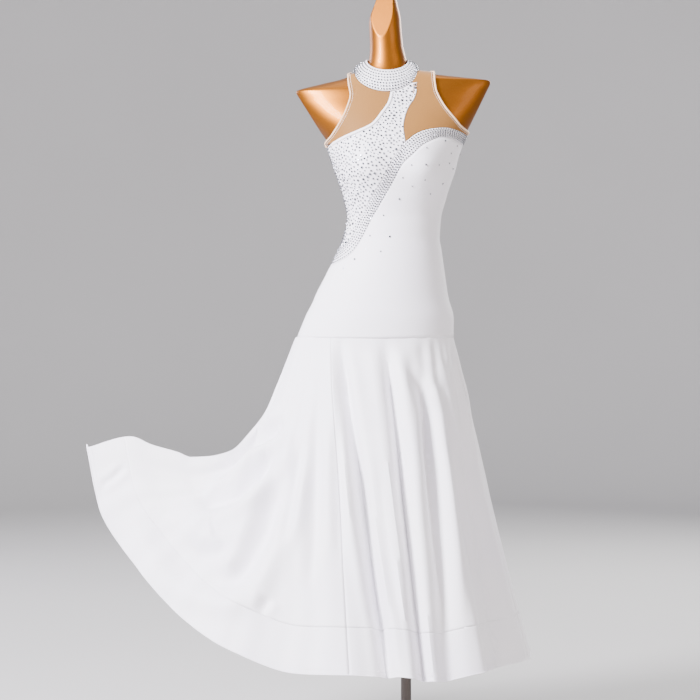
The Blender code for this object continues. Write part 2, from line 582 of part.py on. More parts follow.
def build_zip(white, steel):
    """Closed zip down the centre back, its slider at the collar, and the hinged pull tab."""
    across, z = np.meshgrid(np.linspace(ZIP_HALF_WIDTH, -ZIP_HALF_WIDTH, 3),
                            np.linspace(COLLAR_TOP["back"] - 0.002, ZIP_FOOT_Z, 24))
    sheet("zip", zip_point(across, z), white)

    pin = Vector(PULL_PIN)
    slider = block("zip_slider", SLIDER_BODY["size"], pin + Vector(SLIDER_BODY["from_pin"]), steel)
    for way in (-1, 1):
        side = Vector((way * SLIDER_CHEEK["aside"], *SLIDER_CHEEK["from_pin"]))
        boolean(slider, block("cheek", SLIDER_CHEEK["size"], pin + side, steel), "UNION")
    boolean(slider, rod("pin", PIN_RADIUS, PIN_LENGTH, pin, "X", steel), "UNION")

    # the tab starts below the cheeks' corners, so that it swings past them
    pull = block("zip_pull", PULL_NECK["size"], pin - Vector((0, 0, PULL_NECK["below_pin"])), steel)
    tab = block("tab", PULL_TAB["size"], pin - Vector((0, 0, PULL_TAB["below_pin"])), steel)
    boolean(pull, tab, "UNION")
    boolean(pull, rod("eye", PIN_RADIUS + PIN_CLEARANCE, 2 * PIN_LENGTH, pin, "X", steel), "DIFFERENCE")


def build_stand(gold, steel):
    """The form's smooth body and neck, its pole and its round base."""
    segments = 32
    levels = np.concatenate([np.linspace(*stretch) for stretch in FORM_LEVELS])
    bm = bmesh.new()
    rings = []
    for z in levels:
        turn = np.linspace(-math.pi, math.pi, segments, endpoint=False)
        ring = body_point(turn, np.full(segments, z), dress=False)
        rings.append([bm.verts.new(point) for point in ring])
    for low, high in zip(rings, rings[1:]):
        for i in range(segments):
            j = (i + 1) % segments
            bm.faces.new((low[i], low[j], high[j], high[i]))
    bm.faces.new(rings[0][::-1])
    bm.faces.new(rings[-1])
    add_mesh("form_body", bm, gold)

    foot = BASE_HEIGHT + STAND_GAP
    top = BODY[0, 0] - STAND_GAP
    rod("form_pole", POLE_RADIUS, top - foot, (0, 0, (top + foot) / 2), "Z", steel, segments=24)
    base = rod("form_base", BASE_RADIUS, BASE_HEIGHT, (0, 0, BASE_HEIGHT / 2), "Z", steel, segments=36)
    rounded = base.modifiers.new("Rounded edge", "BEVEL")
    rounded.width = 0.003
    rounded.segments = 1
    rounded.limit_method = "ANGLE"


def clear_scene():
    """Remove what the scene holds."""
    for old in list(bpy.data.objects):
        bpy.data.objects.remove(old, do_unlink=True)


clear_scene()
PARTS = bpy.data.collections.new("ballroom_dance_dress")
bpy.context.scene.collection.children.link(PARTS)

white_cloth = material("white_stretch_cloth", WHITE, 0.75)
nude_mesh = material("nude_mesh", NUDE, 0.8)
gold_lacquer = material("gold_lacquer", GOLD, 0.22, 0.6)
dark_steel = material("dark_steel", STEEL, 0.4, 1.0)
build_skirt(white_cloth)
build_collar(white_cloth)
build_front(white_cloth, nude_mesh)
build_back(white_cloth, nude_mesh)
build_bindings(nude_mesh)
build_zip(white_cloth, dark_steel)
build_stand(gold_lacquer, dark_steel)
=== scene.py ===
"""Ballroom dance dress on a gold dress form: the finished look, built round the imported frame.

Every cloth panel lies on one of two surfaces, the torso or the skirt, both worked out from short
tables, as the frame's panels do. Here they are cut finer, creased, sewn and set with crystals.
Frame: +Z up, the wearer's front faces -Y, +X is the wearer's left, metres.
"""
import math

import bpy
import numpy as np
from bpy.props import FloatProperty, FloatVectorProperty, IntProperty, PointerProperty
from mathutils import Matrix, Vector


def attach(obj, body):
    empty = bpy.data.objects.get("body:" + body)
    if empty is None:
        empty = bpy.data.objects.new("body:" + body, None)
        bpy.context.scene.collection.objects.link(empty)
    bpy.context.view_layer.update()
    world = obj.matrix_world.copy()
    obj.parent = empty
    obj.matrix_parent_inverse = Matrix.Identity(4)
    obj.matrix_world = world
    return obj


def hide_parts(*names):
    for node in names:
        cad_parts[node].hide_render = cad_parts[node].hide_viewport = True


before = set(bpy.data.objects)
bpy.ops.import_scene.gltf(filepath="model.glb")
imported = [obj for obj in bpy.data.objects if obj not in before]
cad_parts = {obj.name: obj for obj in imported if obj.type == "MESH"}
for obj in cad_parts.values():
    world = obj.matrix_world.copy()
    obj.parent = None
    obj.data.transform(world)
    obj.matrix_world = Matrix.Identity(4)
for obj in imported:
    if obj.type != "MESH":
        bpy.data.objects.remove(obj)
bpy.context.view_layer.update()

bl_info = {
    "name": "Ballroom dance dress",
    "version": (1, 0, 0),
    "blender": (4, 5, 0),
    "location": "3D View > Sidebar > Dress",
    "description": "Builds the panels, crystals, dress form and stage of a ballroom dance dress",
    "category": "Object",
}

STILL = "dress_and_form"   # the frame's body that everything but the zip's pull tab moves with

# Cloth
LIFT = 0.0044             # middle of the cloth above the dress form
CLEAR = 0.0030            # gap between the dress form and the rolled edges
SEAM = 0.0002             # between the edges of neighbouring panels
BINDING_RADIUS = 0.0022
ZIP_HALF_WIDTH = 0.0034

# Levels
HIP_Z = 0.885
SKIRT_DROP = 0.12
BAND_START = 0.865        # share of the skirt's length where the stiff hem band starts
COLLAR_SIDE_Z = 1.4405
COLLAR_TILT = 0.0020
COLLAR_FOOT = {"front": 1.394, "back": 1.430}
COLLAR_TOP = {"side": 1.467, "front": 1.441, "back": 1.474}
COLLAR_TOP_RADIUS = {"side": 0.0435, "front": 0.0450, "back": 0.0460}
NECK_X = -0.039
BACK_YOKE_Z = 1.300
COLLAR_BOW = 0.006
COLLAR_SEAM = 0.0006      # how far the panels below stop short of the collar's foot
UNDERARM_Z = 1.280
CRYSTAL_FOOT_Z = 1.069
SIDE_SEAM_ANGLE = math.pi / 2 - 0.0025
ARMHOLE_EDGE = BINDING_RADIUS + 0.0002
ZIP_FOOT_Z = 0.960
THREAD_STEPS = 900        # samples along a seam line before it is evened out
STRAP_ROWS, DIAGONAL_ROWS, FOOT_COLUMNS, PANEL_COLUMNS = 41, 69, 109, 49   # points on panels' edges
HEM_STITCH_SHARE = 0.985
TAPE_CLEAR = 0.0078       # from the strap's edge to the nearest scattered stone
STONE_TRIES = 14000
BORDER_STONE_PITCH = 0.0059
COLLAR_STONE_PITCH = 0.0060
TOOTH_PITCH = 0.0014
EYE_RADIUS = 0.00105      # of the pull's rings round the pin
WORLD_STRENGTH = 0.80
FLOOR_FLAT = 5.2          # radius where the floor starts to curve up
FLOOR_BEND = 1.8
WALL_RADIUS = 7.0
PULL_PIN = (NECK_X, 0.0563, 1.4560)

# Body sections: level, middle, half-widths to the wearer's right and left, depths to front and back
BODY = np.array([
    (0.800, -0.045, 0.122, 0.122, 0.096, 0.098),
    (0.860, -0.045, 0.136, 0.139, 0.107, 0.111),
    (0.925, -0.045, 0.140, 0.140, 0.112, 0.116),
    (0.964, -0.045, 0.135, 0.130, 0.108, 0.112),
    (1.014, -0.042, 0.119, 0.119, 0.100, 0.102),
    (1.065, -0.035, 0.103, 0.105, 0.089, 0.082),
    (1.098, -0.029, 0.0955, 0.0945, 0.082, 0.069),
    (1.132, -0.025, 0.0935, 0.0930, 0.081, 0.065),
    (1.182, -0.023, 0.1035, 0.1035, 0.090, 0.071),
    (1.233, -0.023, 0.1205, 0.1205, 0.098, 0.081),
    (1.266, -0.024, 0.131, 0.130, 0.098, 0.085),
    (1.298, -0.024, 0.143, 0.142, 0.092, 0.086),
    (1.340, -0.028, 0.173, 0.168, 0.079, 0.083),
    (1.380, -0.032, 0.193, 0.193, 0.062, 0.071),
    (1.400, -0.034, 0.197, 0.203, 0.055, 0.064),
    (1.417, -0.036, 0.140, 0.213, 0.0475, 0.056),
    (1.424, -0.037, 0.108, 0.214, 0.0450, 0.053),
    (1.430, -0.038, 0.088, 0.165, 0.0430, 0.050),
    (1.440, -0.039, 0.064, 0.074, 0.0405, 0.046),
    (1.450, -0.039, 0.045, 0.042, 0.0390, 0.042),
    (1.465, -0.039, 0.039, 0.040, 0.0370, 0.038),
    (1.500, -0.041, 0.0345, 0.0345, 0.035, 0.035),
    (1.550, -0.044, 0.033, 0.033, 0.033, 0.033),
    (1.585, -0.042, 0.024, 0.024, 0.026, 0.026),
    (1.605, -0.041, 0.017, 0.017, 0.018, 0.018),
    (1.616, -0.041, 0.009, 0.009, 0.009, 0.009),
])
# Bust cups: distance from the middle, level, spread across, spread up and how far they stand out
CUP = {"side": 0.066, "z": 1.238, "across": 0.046, "up": 0.040, "out": 0.020}
# How far the dress stands off the form at the wearer's right hip, where the skirt is pulled out
HIP_FLARE = np.array([(0.885, 0.0400), (0.925, 0.0220), (0.964, 0.0080), (1.014, 0.0025), (1.065, 0.0)])

# Seam lines seen from the front: x, z, from the top down
STRAP_RIGHT_EDGE = [(-0.031, 1.3925), (-0.035, 1.374), (-0.051, 1.348), (-0.070, 1.325), (-0.095, 1.313),
                    (-0.124, 1.302), (-0.150, 1.290)]
STRAP_LEFT_EDGE = [(0.0235, 1.4145), (0.021, 1.395), (0.016, 1.378), (0.006, 1.362), (-0.002, 1.342),
                   (-0.006, 1.319), (-0.002, 1.285)]
BORDER_TOP = [(0.126, 1.309), (0.104, 1.316), (0.081, 1.319), (0.056, 1.316), (0.025, 1.306),
              (-0.002, 1.285)]
BORDER_DIAGONAL = [(-0.002, 1.285), (-0.031, 1.243), (-0.047, 1.213), (-0.064, 1.183), (-0.078, 1.159),
                   (-0.091, 1.133), (-0.101, 1.111), (-0.114, 1.088), (-0.128, 1.072), (-0.1405, 1.064)]
BORDER_FOOT = [(0.1205, 1.287), (0.108, 1.294), (0.087, 1.300), (0.072, 1.300), (0.049, 1.290),
               (0.031, 1.277), (0.014, 1.260), (-0.008, 1.239), (-0.027, 1.206), (-0.045, 1.174),
               (-0.068, 1.132), (-0.091, 1.085), (-0.107, 1.061), (-0.126, 1.046), (-0.144, 1.038),
               (-0.156, 1.033)]
ARMHOLE = {
    "right": [(-0.119, 1.430), (-0.119, 1.420), (-0.116, 1.400), (-0.114, 1.388), (-0.122, 1.356),
              (-0.134, 1.331), (-0.153, 1.304), (-0.168, 1.291)],
    "left": [(0.057, 1.436), (0.058, 1.425), (0.061, 1.400), (0.069, 1.380), (0.081, 1.360),
             (0.098, 1.340), (0.114, 1.323), (0.127, 1.316)],
}
SHOULDER_TOP_Z = {"right": 1.4350, "left": 1.4376}
ARMHOLE_FOOT_Z = {"right": 1.286, "left": 1.3135}

# Hem stations from the held tip round the front and back to the tip: angle of the same thread
# at the hip, and the hem's place
HEM = np.array([
    (-90, -0.670, 0.000, 0.655), (-84, -0.636, -0.030, 0.524), (-76, -0.558, -0.080, 0.420),
    (-66, -0.447, -0.150, 0.317), (-57, -0.343, -0.200, 0.261), (-46, -0.209, -0.250, 0.226),
    (-37, -0.110, -0.275, 0.228), (-29, -0.037, -0.280, 0.228), (0, 0.035, -0.280, 0.221),
    (18, 0.076, -0.270, 0.217), (40, 0.126, -0.240, 0.221), (62, 0.185, -0.170, 0.223),
    (90, 0.258, -0.020, 0.221), (108, 0.238, 0.130, 0.222), (128, 0.165, 0.240, 0.222),
    (155, 0.050, 0.290, 0.222), (180, -0.070, 0.288, 0.222), (205, -0.190, 0.262, 0.228),
    (225, -0.310, 0.212, 0.260), (240, -0.420, 0.155, 0.315), (252, -0.530, 0.095, 0.400),
    (262, -0.615, 0.045, 0.505), (270, -0.670, 0.000, 0.655),
])
# Ridge of the held-out side: share of the skirt's length, x, z
RIDGE = np.array([
    (0.00, -0.2268, 0.8850), (0.16, -0.2625, 0.7958), (0.315, -0.3003, 0.7118), (0.39, -0.3276, 0.6782),
    (0.478, -0.3696, 0.6446), (0.557, -0.4158, 0.6352), (0.62, -0.4536, 0.6341),
    (0.669, -0.4809, 0.6446),
    (0.768, -0.5376, 0.6614), (0.843, -0.5796, 0.6782), (1.00, -0.6699, 0.6551),
])
RIDGE_REACH = 0.34        # hem distance over which the ridge's sag fades into the skirt
# Largest folds: angle of their thread at the hip, share of length where it starts, half-width and
# depth at the hem, negative for a valley
FOLD_COLUMNS = ("hip_deg", "start", "half_width", "depth")
FOLDS = [dict(zip(FOLD_COLUMNS, row)) for row in (
    (-58, 0.30, 0.070, 0.016), (-29, 0.00, 0.034, -0.034), (-14, 0.05, 0.026, 0.012),
    (0, 0.00, 0.030, -0.032), (26, 0.03, 0.034, -0.028), (66, 0.03, 0.040, -0.022),
    (112, 0.06, 0.040, -0.026), (140, 0.03, 0.042, -0.034), (166, 0.05, 0.038, -0.030),
    (196, 0.04, 0.042, -0.034), (222, 0.10, 0.050, -0.024), (246, 0.32, 0.070, 0.014))]
# Gores, each from one seam to the next round the hip; the first wraps the held-out ridge
GORE_SEAMS_DEG = {"skirt_held_side": (-108, -37), "skirt_front": (-37, 82),
                  "skirt_back_left": (82, 180), "skirt_back_right": (180, 252)}

# Creases of the skirt: width and depth of each soft trough, then its course as distances along the
# hem from the held tip and shares of the skirt's length
CREASES = [
    # long folds down the front, from the hip seam to the hem
    (0.012, 0.0181, [(0.876, 0.0), (0.885, 0.15), (0.888, 0.31), (0.896, 0.45), (0.896, 0.62),
                     (0.897, 0.78), (0.900, 0.87), (0.897, 1.0)]),
    (0.012, 0.0194, [(0.969, 0.0), (0.973, 0.12), (0.976, 0.30), (0.974, 0.49), (0.972, 0.68),
                     (0.970, 0.81), (0.968, 1.0)]),
    (0.013, 0.0206, [(1.005, 0.045), (1.029, 0.134), (1.044, 0.232), (1.042, 0.363), (1.042, 0.494),
                     (1.042, 0.632), (1.040, 0.80), (1.036, 0.93)]),
    (0.010, 0.0055, [(1.046, 0.01), (1.050, 0.08), (1.046, 0.16), (1.044, 0.22)]),
    (0.009, 0.0050, [(1.090, 0.01), (1.082, 0.09), (1.072, 0.17)]),
    (0.013, 0.0128, [(1.217, 0.0), (1.232, 0.141), (1.212, 0.296), (1.200, 0.42)]),
    (0.010, 0.0064, [(0.850, 0.10), (0.835, 0.30), (0.822, 0.52), (0.815, 0.72)]),
    (0.014, 0.0074, [(0.930, 0.40), (0.932, 0.60), (0.936, 0.85), (0.934, 1.0)]),
    (0.015, 0.0085, [(1.110, 0.25), (1.118, 0.50), (1.126, 0.75), (1.130, 1.0)]),
    (0.010, 0.0064, [(1.160, 0.05), (1.168, 0.20), (1.176, 0.38)]),
    # swags across the front of the held-out side
    (0.019, 0.0200, [(0.500, 0.25), (0.430, 0.29), (0.300, 0.33), (0.150, 0.385), (0.070, 0.48),
                     (0.056, 0.60)]),
    (0.020, 0.0240, [(0.485, 0.313), (0.447, 0.422), (0.390, 0.511), (0.281, 0.613), (0.200, 0.660)]),
    (0.026, 0.0231, [(0.176, 0.80), (0.261, 0.855), (0.358, 0.872), (0.429, 0.845), (0.519, 0.80),
                     (0.549, 0.704), (0.564, 0.573), (0.563, 0.427), (0.549, 0.368)]),
    (0.021, 0.0150, [(0.256, 0.790), (0.340, 0.815), (0.408, 0.785), (0.451, 0.742), (0.474, 0.649)]),
    (0.010, 0.0074, [(0.629, 0.802), (0.612, 0.869)]),
    (0.012, 0.0085, [(0.640, 0.30), (0.648, 0.48), (0.640, 0.66)]),
    (0.012, 0.0074, [(0.715, 0.18), (0.728, 0.40), (0.735, 0.62), (0.730, 0.80)]),
    # puckers of the stiff band
    (0.006, 0.0046, [(1.165, 0.905), (1.178, 0.935), (1.196, 0.955)]),
    (0.006, 0.0039, [(1.195, 0.895), (1.210, 0.925)]),
    (0.007, 0.0042, [(0.070, 0.870), (0.085, 0.930), (0.090, 0.985)]),
    # the hidden back and the back of the held-out side
    (0.012, 0.0136, [(1.500, 0.02), (1.508, 0.25), (1.515, 0.55), (1.512, 0.92)]),
    (0.013, 0.0145, [(1.660, 0.0), (1.668, 0.30), (1.674, 0.60), (1.669, 1.0)]),
    (0.011, 0.0127, [(1.775, 0.03), (1.782, 0.28), (1.790, 0.62), (1.788, 1.0)]),
    (0.012, 0.0145, [(1.938, 0.0), (1.946, 0.26), (1.950, 0.58), (1.944, 0.96)]),
    (0.014, 0.0110, [(2.080, 0.08), (2.092, 0.35), (2.100, 0.70), (2.096, 1.0)]),
    (0.008, 0.0059, [(1.585, 0.0), (1.590, 0.12), (1.594, 0.22)]),
    (0.007, 0.0054, [(1.850, 0.01), (1.856, 0.14), (1.858, 0.24)]),
    (0.018, 0.0127, [(2.170, 0.36), (2.150, 0.55), (2.165, 0.72), (2.230, 0.83), (2.330, 0.87),
                     (2.440, 0.84)]),
    (0.016, 0.0119, [(2.210, 0.28), (2.260, 0.40), (2.340, 0.52), (2.450, 0.62)]),
    (0.014, 0.0093, [(2.250, 0.66), (2.310, 0.76), (2.400, 0.78)]),
    (0.010, 0.0051, [(1.350, 0.10), (1.372, 0.34), (1.388, 0.60)]),
]
# Gathers fanning down from the hip seam: angle at the hip, share of length they reach, depth
HIP_GATHERS = [(-48, 0.050, 0.0008), (-41, 0.075, 0.0012), (-24, 0.060, 0.0014), (-18, 0.110, 0.0018),
               (-9, 0.070, 0.0014), (7, 0.120, 0.0018), (13, 0.060, 0.0012), (33, 0.100, 0.0016),
               (44, 0.070, 0.0012), (55, 0.110, 0.0016), (78, 0.060, 0.0010), (100, 0.080, 0.0014),
               (124, 0.110, 0.0018), (151, 0.070, 0.0014), (178, 0.100, 0.0016), (209, 0.080, 0.0014)]


# Surfaces

def smooth(xs, ys, x):
    """Value at x on the curve that runs through (xs, ys) without overshooting between points."""
    xs, ys, x = (np.asarray(values, dtype=float) for values in (xs, ys, x))
    step = np.diff(xs)
    rise = np.diff(ys) / step
    slope = np.concatenate([[rise[0]], np.zeros(len(xs) - 2), [rise[-1]]])
    agree = rise[:-1] * rise[1:] > 0
    both = np.where(agree, rise[:-1] + rise[1:], 1.0)
    slope[1:-1] = np.where(agree, 2 * rise[:-1] * rise[1:] / both, 0.0)
    i = np.clip(np.searchsorted(xs, x) - 1, 0, len(xs) - 2)
    t = np.clip((x - xs[i]) / step[i], 0.0, 1.0)
    return (ys[i] * (1 + 2 * t) * (1 - t) ** 2 + slope[i] * step[i] * t * (1 - t) ** 2
            + ys[i + 1] * t * t * (3 - 2 * t) + slope[i + 1] * step[i] * t * t * (t - 1))


def section(z):
    """Middle, half-widths and depths of the body at level z."""
    return [smooth(BODY[:, 0], BODY[:, column], z) for column in range(1, BODY.shape[1])]


def flare(z):
    """Extra half-width of the dress at the pulled-out hip."""
    return np.where(z < HIP_FLARE[-1, 0], smooth(HIP_FLARE[:, 0], HIP_FLARE[:, 1], z), 0.0)


def body_point(angle, z, dress=True):
    """Point of the torso at an angle from the front middle, positive to the wearer's left."""
    middle, right, left, front, back = section(z)
    across, ahead = np.sin(angle), np.cos(angle)
    side = np.where(across < 0, right + (flare(z) if dress else 0.0), left)
    depth = np.where(ahead > 0, front, back)
    x = middle + side * across
    lobes = sum(np.exp(-((x - middle - way * CUP["side"]) / CUP["across"]) ** 2) for way in (-1, 1))
    swell = CUP["out"] * lobes * np.exp(-((z - CUP["z"]) / CUP["up"]) ** 2) * np.clip(ahead * 2, 0, 1)
    return np.stack([x, -depth * ahead - swell, z + 0 * angle], axis=-1)


def lifted(surface, u, v, lift, du=1e-4, dv=1e-4):
    """Points of a surface moved out along its normal."""
    across = surface(u + du, v) - surface(u - du, v)
    along = surface(u, v + dv) - surface(u, v - dv)
    normal = np.cross(across, along)
    normal /= np.linalg.norm(normal, axis=-1, keepdims=True)
    return surface(u, v) + normal * np.asarray(lift)[..., None]


def on_torso(angle, z, lift=LIFT):
    """Point on the dress's bodice."""
    return lifted(body_point, angle, z, lift)


def angle_at(x, z, back=False):
    """Angle of the torso's point seen at (x, z) from the front, or through it on the back."""
    middle, right, left, _, _ = section(z)
    offset = x - middle
    reach = np.where(offset < 0, right + flare(z), left)
    angle = np.arcsin(np.clip(offset / reach, -1, 1))
    return np.where(offset < 0, -np.pi - angle, np.pi - angle) if back else angle


def along_line(points):
    """Distance from the start of a line at each of its points."""
    return np.concatenate([[0], np.cumsum(np.linalg.norm(np.diff(points, axis=0), axis=1))])


def thread(points, count, back=False):
    """Angle and level pairs, evenly spaced on the torso, along a line given as seen from the front."""
    points = np.array(points)
    along = along_line(points)
    at = np.linspace(0, along[-1], THREAD_STEPS)
    x, z = (smooth(along, points[:, column], at) for column in (0, 1))
    return even(np.stack([angle_at(x, z, back), z], axis=1), count)


def even(pairs, count):
    """Angle and level pairs, evenly spaced on the torso, along a line of them."""
    spaced = along_line(body_point(*pairs.T))
    at = np.linspace(0, spaced[-1], count)
    return np.stack([np.interp(at, spaced, values) for values in pairs.T], axis=1)


def shifted(pairs, distance):
    """A line on the torso moved over the surface, to its right as it runs, seen from outside."""
    angle, z = pairs.T
    step = 1e-4
    across = (body_point(angle + step, z) - body_point(angle - step, z)) / (2 * step)
    up = (body_point(angle, z + step) - body_point(angle, z - step)) / (2 * step)
    side = np.cross(np.gradient(body_point(angle, z), axis=0), np.cross(across, up))
    move = side / np.linalg.norm(side, axis=1, keepdims=True) * distance
    aa, ab, bb = ((p * q).sum(axis=1) for p, q in ((across, across), (across, up), (up, up)))
    am, bm = ((p * move).sum(axis=1) for p in (across, up))
    spread = aa * bb - ab * ab
    return pairs + np.stack([(bb * am - ab * bm) / spread, (aa * bm - ab * am) / spread], axis=1)


def edge(points, count, shift, back=False):
    """A panel's edge: a seam line, evenly spaced, then moved sideways off the seam."""
    pairs = shifted(thread(points, count, back), shift)
    if not back:
        pairs[:, 0] = np.clip(pairs[:, 0], -SIDE_SEAM_ANGLE, SIDE_SEAM_ANGLE)
    return pairs


def patch(right, left, across, top=None, bottom=None):
    """Grid between two side edges and, where given, curved ends that start and finish at the side
    edges' own ends. across holds each column's share of the way from the right edge to the left."""
    down = np.linspace(0, 1, len(right))[:, None, None]
    across = across[None, :, None]
    grid = right[:, None] * (1 - across) + left[:, None] * across
    for end, row, fade in ((top, 0, 1 - down), (bottom, -1, down)):
        if end is not None:
            grid = grid + fade * (end - grid[row])[None]
    return grid


def yoke_patch(right, left, across, top, bottom=None, back=False):
    """A patch whose threads run straight as seen from the front, for the panels over the shoulders."""
    flat = [None if pairs is None else np.stack([body_point(*pairs.T)[:, 0], pairs[:, 1]], axis=1)
            for pairs in (right, left, top, bottom)]
    grid = patch(*flat[:2], across, *flat[2:])
    return np.stack([angle_at(grid[..., 0], grid[..., 1], back), grid[..., 1]], axis=-1)


HEM_STEPS = np.linalg.norm(np.diff(HEM[:, 1:], axis=0), axis=1)
HEM_AT = np.concatenate([[0], np.cumsum(HEM_STEPS)])      # distance along the hem at each station
HEM_LENGTH = HEM_AT[-1]


def hem_distance(hip_deg):
    """Distance along the hem of the thread that leaves the hip at an angle."""
    turns = np.floor((hip_deg + 90) / 360)
    return smooth(HEM[:, 0], HEM_AT, hip_deg - 360 * turns) + turns * HEM_LENGTH


def skirt_base(along, down):
    """Skirt before its folds, at a distance along the hem and a share of its length."""
    along = np.mod(along, HEM_LENGTH)
    angle = np.radians(smooth(HEM_AT, HEM[:, 0], along))
    hip = body_point(angle, HIP_Z + 0 * angle)
    hem = np.stack([smooth(HEM_AT, HEM[:, column], along) for column in (1, 2, 3)], axis=-1)
    out, fall = np.sign(down) * np.abs(down) ** (1 + SKIRT_DROP), down
    share = np.stack([out, out, fall], axis=-1)
    from_ridge = np.minimum(along, HEM_LENGTH - along)
    right_hip = body_point(np.array(-math.pi / 2), np.array(HIP_Z))
    straight = right_hip * (1 - share) + HEM[0, 1:] * share
    sag_x = smooth(RIDGE[:, 0], RIDGE[:, 1], down) - straight[..., 0]
    sag_z = smooth(RIDGE[:, 0], RIDGE[:, 2], down) - straight[..., 2]
    sag = np.stack([sag_x, 0 * sag_x, sag_z], axis=-1)
    return hip * (1 - share) + hem * share + sag * np.exp(-(from_ridge / RIDGE_REACH) ** 2)[..., None]


def fold_depth(along, down):
    """How far the folds move the skirt out."""
    total = 0.0 * along
    for fold in FOLDS:
        away = along - hem_distance(fold["hip_deg"])
        away -= HEM_LENGTH * np.round(away / HEM_LENGTH)
        grown = np.clip((down - fold["start"]) / (1 - fold["start"]), 0, 1)
        width = fold["half_width"] * (0.55 + 0.45 * grown)
        total = total + fold["depth"] * grown ** 0.7 * np.exp(-(away / width) ** 2)
    return total


def eased(share):
    """Smooth rise from 0 to 1 over the first third or so of a crease."""
    return np.sin(np.minimum(share / 0.35, 1) * math.pi / 2) ** 2


def crease_line(course, samples=90):
    """Points evenly along a crease's course on the skirt, and how deep it is at each, 0 at its ends."""
    course = np.array(course)
    steps = np.arange(len(course))
    at = np.linspace(0, len(course) - 1, samples)
    along, down = (smooth(steps, course[:, column], at) for column in (0, 1))
    share = np.linspace(0, 1, samples)
    starts_sewn = course[0, 1] <= 0.01
    ends_hem = course[-1, 1] >= 0.99
    rise = np.clip(down / 0.15, 0, 1) if starts_sewn else eased(share)
    fall = 1.0 if ends_hem else eased(1 - share)
    wander = 1 + 0.18 * np.sin(7.3 * share + 11 * course[0, 0]) + 0.10 * np.sin(17.1 * share)
    return skirt_base(along, down), rise * fall * wander


def crease_depth(points):
    """How far the creases move the skirt in or out at each of its points: a soft trough between two
    low ridges."""
    total = np.zeros(points.shape[:-1])
    flat = points.reshape(-1, 3)
    for width, depth, course in CREASES:
        line, strength = crease_line(course)
        reach = 5 * width
        near = np.all((flat > line.min(axis=0) - reach) & (flat < line.max(axis=0) + reach), axis=1)
        if not near.any():
            continue
        gaps = np.linalg.norm(flat[near][:, None] - line[None], axis=2)
        nearest = gaps.argmin(axis=1)
        away = gaps[np.arange(len(nearest)), nearest] / width
        shape = -np.exp(-away ** 2) + 0.55 * np.exp(-((away - 1.9) / 1.1) ** 2)
        total.reshape(-1)[near] += depth * strength[nearest] * shape
    return total


def gathered(along, down):
    """How far the gathers below the hip seam move the skirt out."""
    total = 0.0 * along
    for hip_deg, reach, depth in HIP_GATHERS:
        away = (along - hem_distance(hip_deg)) / 0.013
        share = np.clip(down / reach, 0, 1)
        total -= 4 * depth * np.exp(-away ** 2) * share * (1 - share)
    return total


def soft_drift(along, down):
    """Slight unevenness of the hanging cloth, long down the thread and short across it."""
    across = 2 * math.pi * along / HEM_LENGTH
    grown = np.clip(down / 0.5, 0, 1)
    return grown * (0.0012 * np.sin(17 * across + 2.1 * down)
                    + 0.0009 * np.sin(29 * across - 3.4 * down + 1.2)
                    + 0.0006 * np.sin(47 * across + 5.0 * down + 0.5))


def on_skirt(along, down, lift=LIFT):
    """Point on the skirt with its folds, creases and gathers."""
    out = fold_depth(along, down) + gathered(along, down) + soft_drift(along, down) + lift
    out = out + crease_depth(skirt_base(along, down))
    return lifted(lambda u, v: skirt_base(u, -v), along, -down, out)


def collar_foot(turn):
    """Angle and level of the collar's foot, where it is sewn to the bodice, at a turn round the neck."""
    across, ahead = np.sin(turn), np.cos(turn)
    middle, right, _, _, _ = section(np.full_like(turn, COLLAR_SIDE_Z - COLLAR_TILT))
    _, _, left, _, _ = section(np.full_like(turn, COLLAR_SIDE_Z + COLLAR_TILT))
    far = np.where(ahead > 0, COLLAR_FOOT["front"], COLLAR_FOOT["back"])
    near = COLLAR_SIDE_Z + COLLAR_TILT * across
    z = near + (far - near) * np.abs(ahead)
    x = middle + np.where(across < 0, right, left) * across
    angle = np.where(ahead > 0, angle_at(x, z), angle_at(x, z, back=True))
    return np.stack([angle, z], axis=-1)


def collar_points(turn, up):
    """Middle of the collar's wall at a turn round the neck and a share of its height."""
    across, ahead = np.sin(turn), np.cos(turn)
    foot = collar_foot(turn)
    low = on_torso(foot[..., 0], foot[..., 1])
    depth = np.where(ahead > 0, COLLAR_TOP_RADIUS["front"], COLLAR_TOP_RADIUS["back"])
    far = np.where(ahead > 0, COLLAR_TOP["front"], COLLAR_TOP["back"])
    high = np.stack([NECK_X + COLLAR_TOP_RADIUS["side"] * across, -depth * ahead,
                     COLLAR_TOP["side"] + (far - COLLAR_TOP["side"]) * np.abs(ahead)], axis=-1)
    bow = COLLAR_BOW * np.sin(math.pi * up)
    out = np.stack([across * bow, -ahead * bow, 0 * bow], axis=-1)
    return low * (1 - up[..., None]) + high * up[..., None] + out


def under_collar(start, end, first_deg, last_deg, count):
    """A panel's top edge: from its corner, just below a stretch of the collar's foot, to its corner."""
    turns = np.radians(np.linspace(first_deg, last_deg, 24))
    way = 1 if last_deg > first_deg else -1
    foot = shifted(collar_foot(turns), way * COLLAR_SEAM)
    return even(np.concatenate([[start], foot, [end]]), count)


def side_line(way, top, bottom, count):
    """Side seam's edge straight down the torso on the wearer's right (-1) or left (1)."""
    return np.stack([np.full(count, way * SIDE_SEAM_ANGLE), np.linspace(top, bottom, count)], axis=1)


def back_seam(way, top, bottom, count):
    """The centre back edge of one side's panels, beside the zip."""
    levels = np.linspace(top, bottom, count)
    middle, right, left, _, _ = section(levels)
    reach = right if way < 0 else left
    apart = np.interp(levels, (ZIP_FOOT_Z - 0.010, ZIP_FOOT_Z - 0.001),
                      (SEAM / 2, ZIP_HALF_WIDTH + SEAM))
    across = NECK_X - middle + way * apart
    return np.stack([way * math.pi - np.arcsin(across / reach), levels], axis=1)


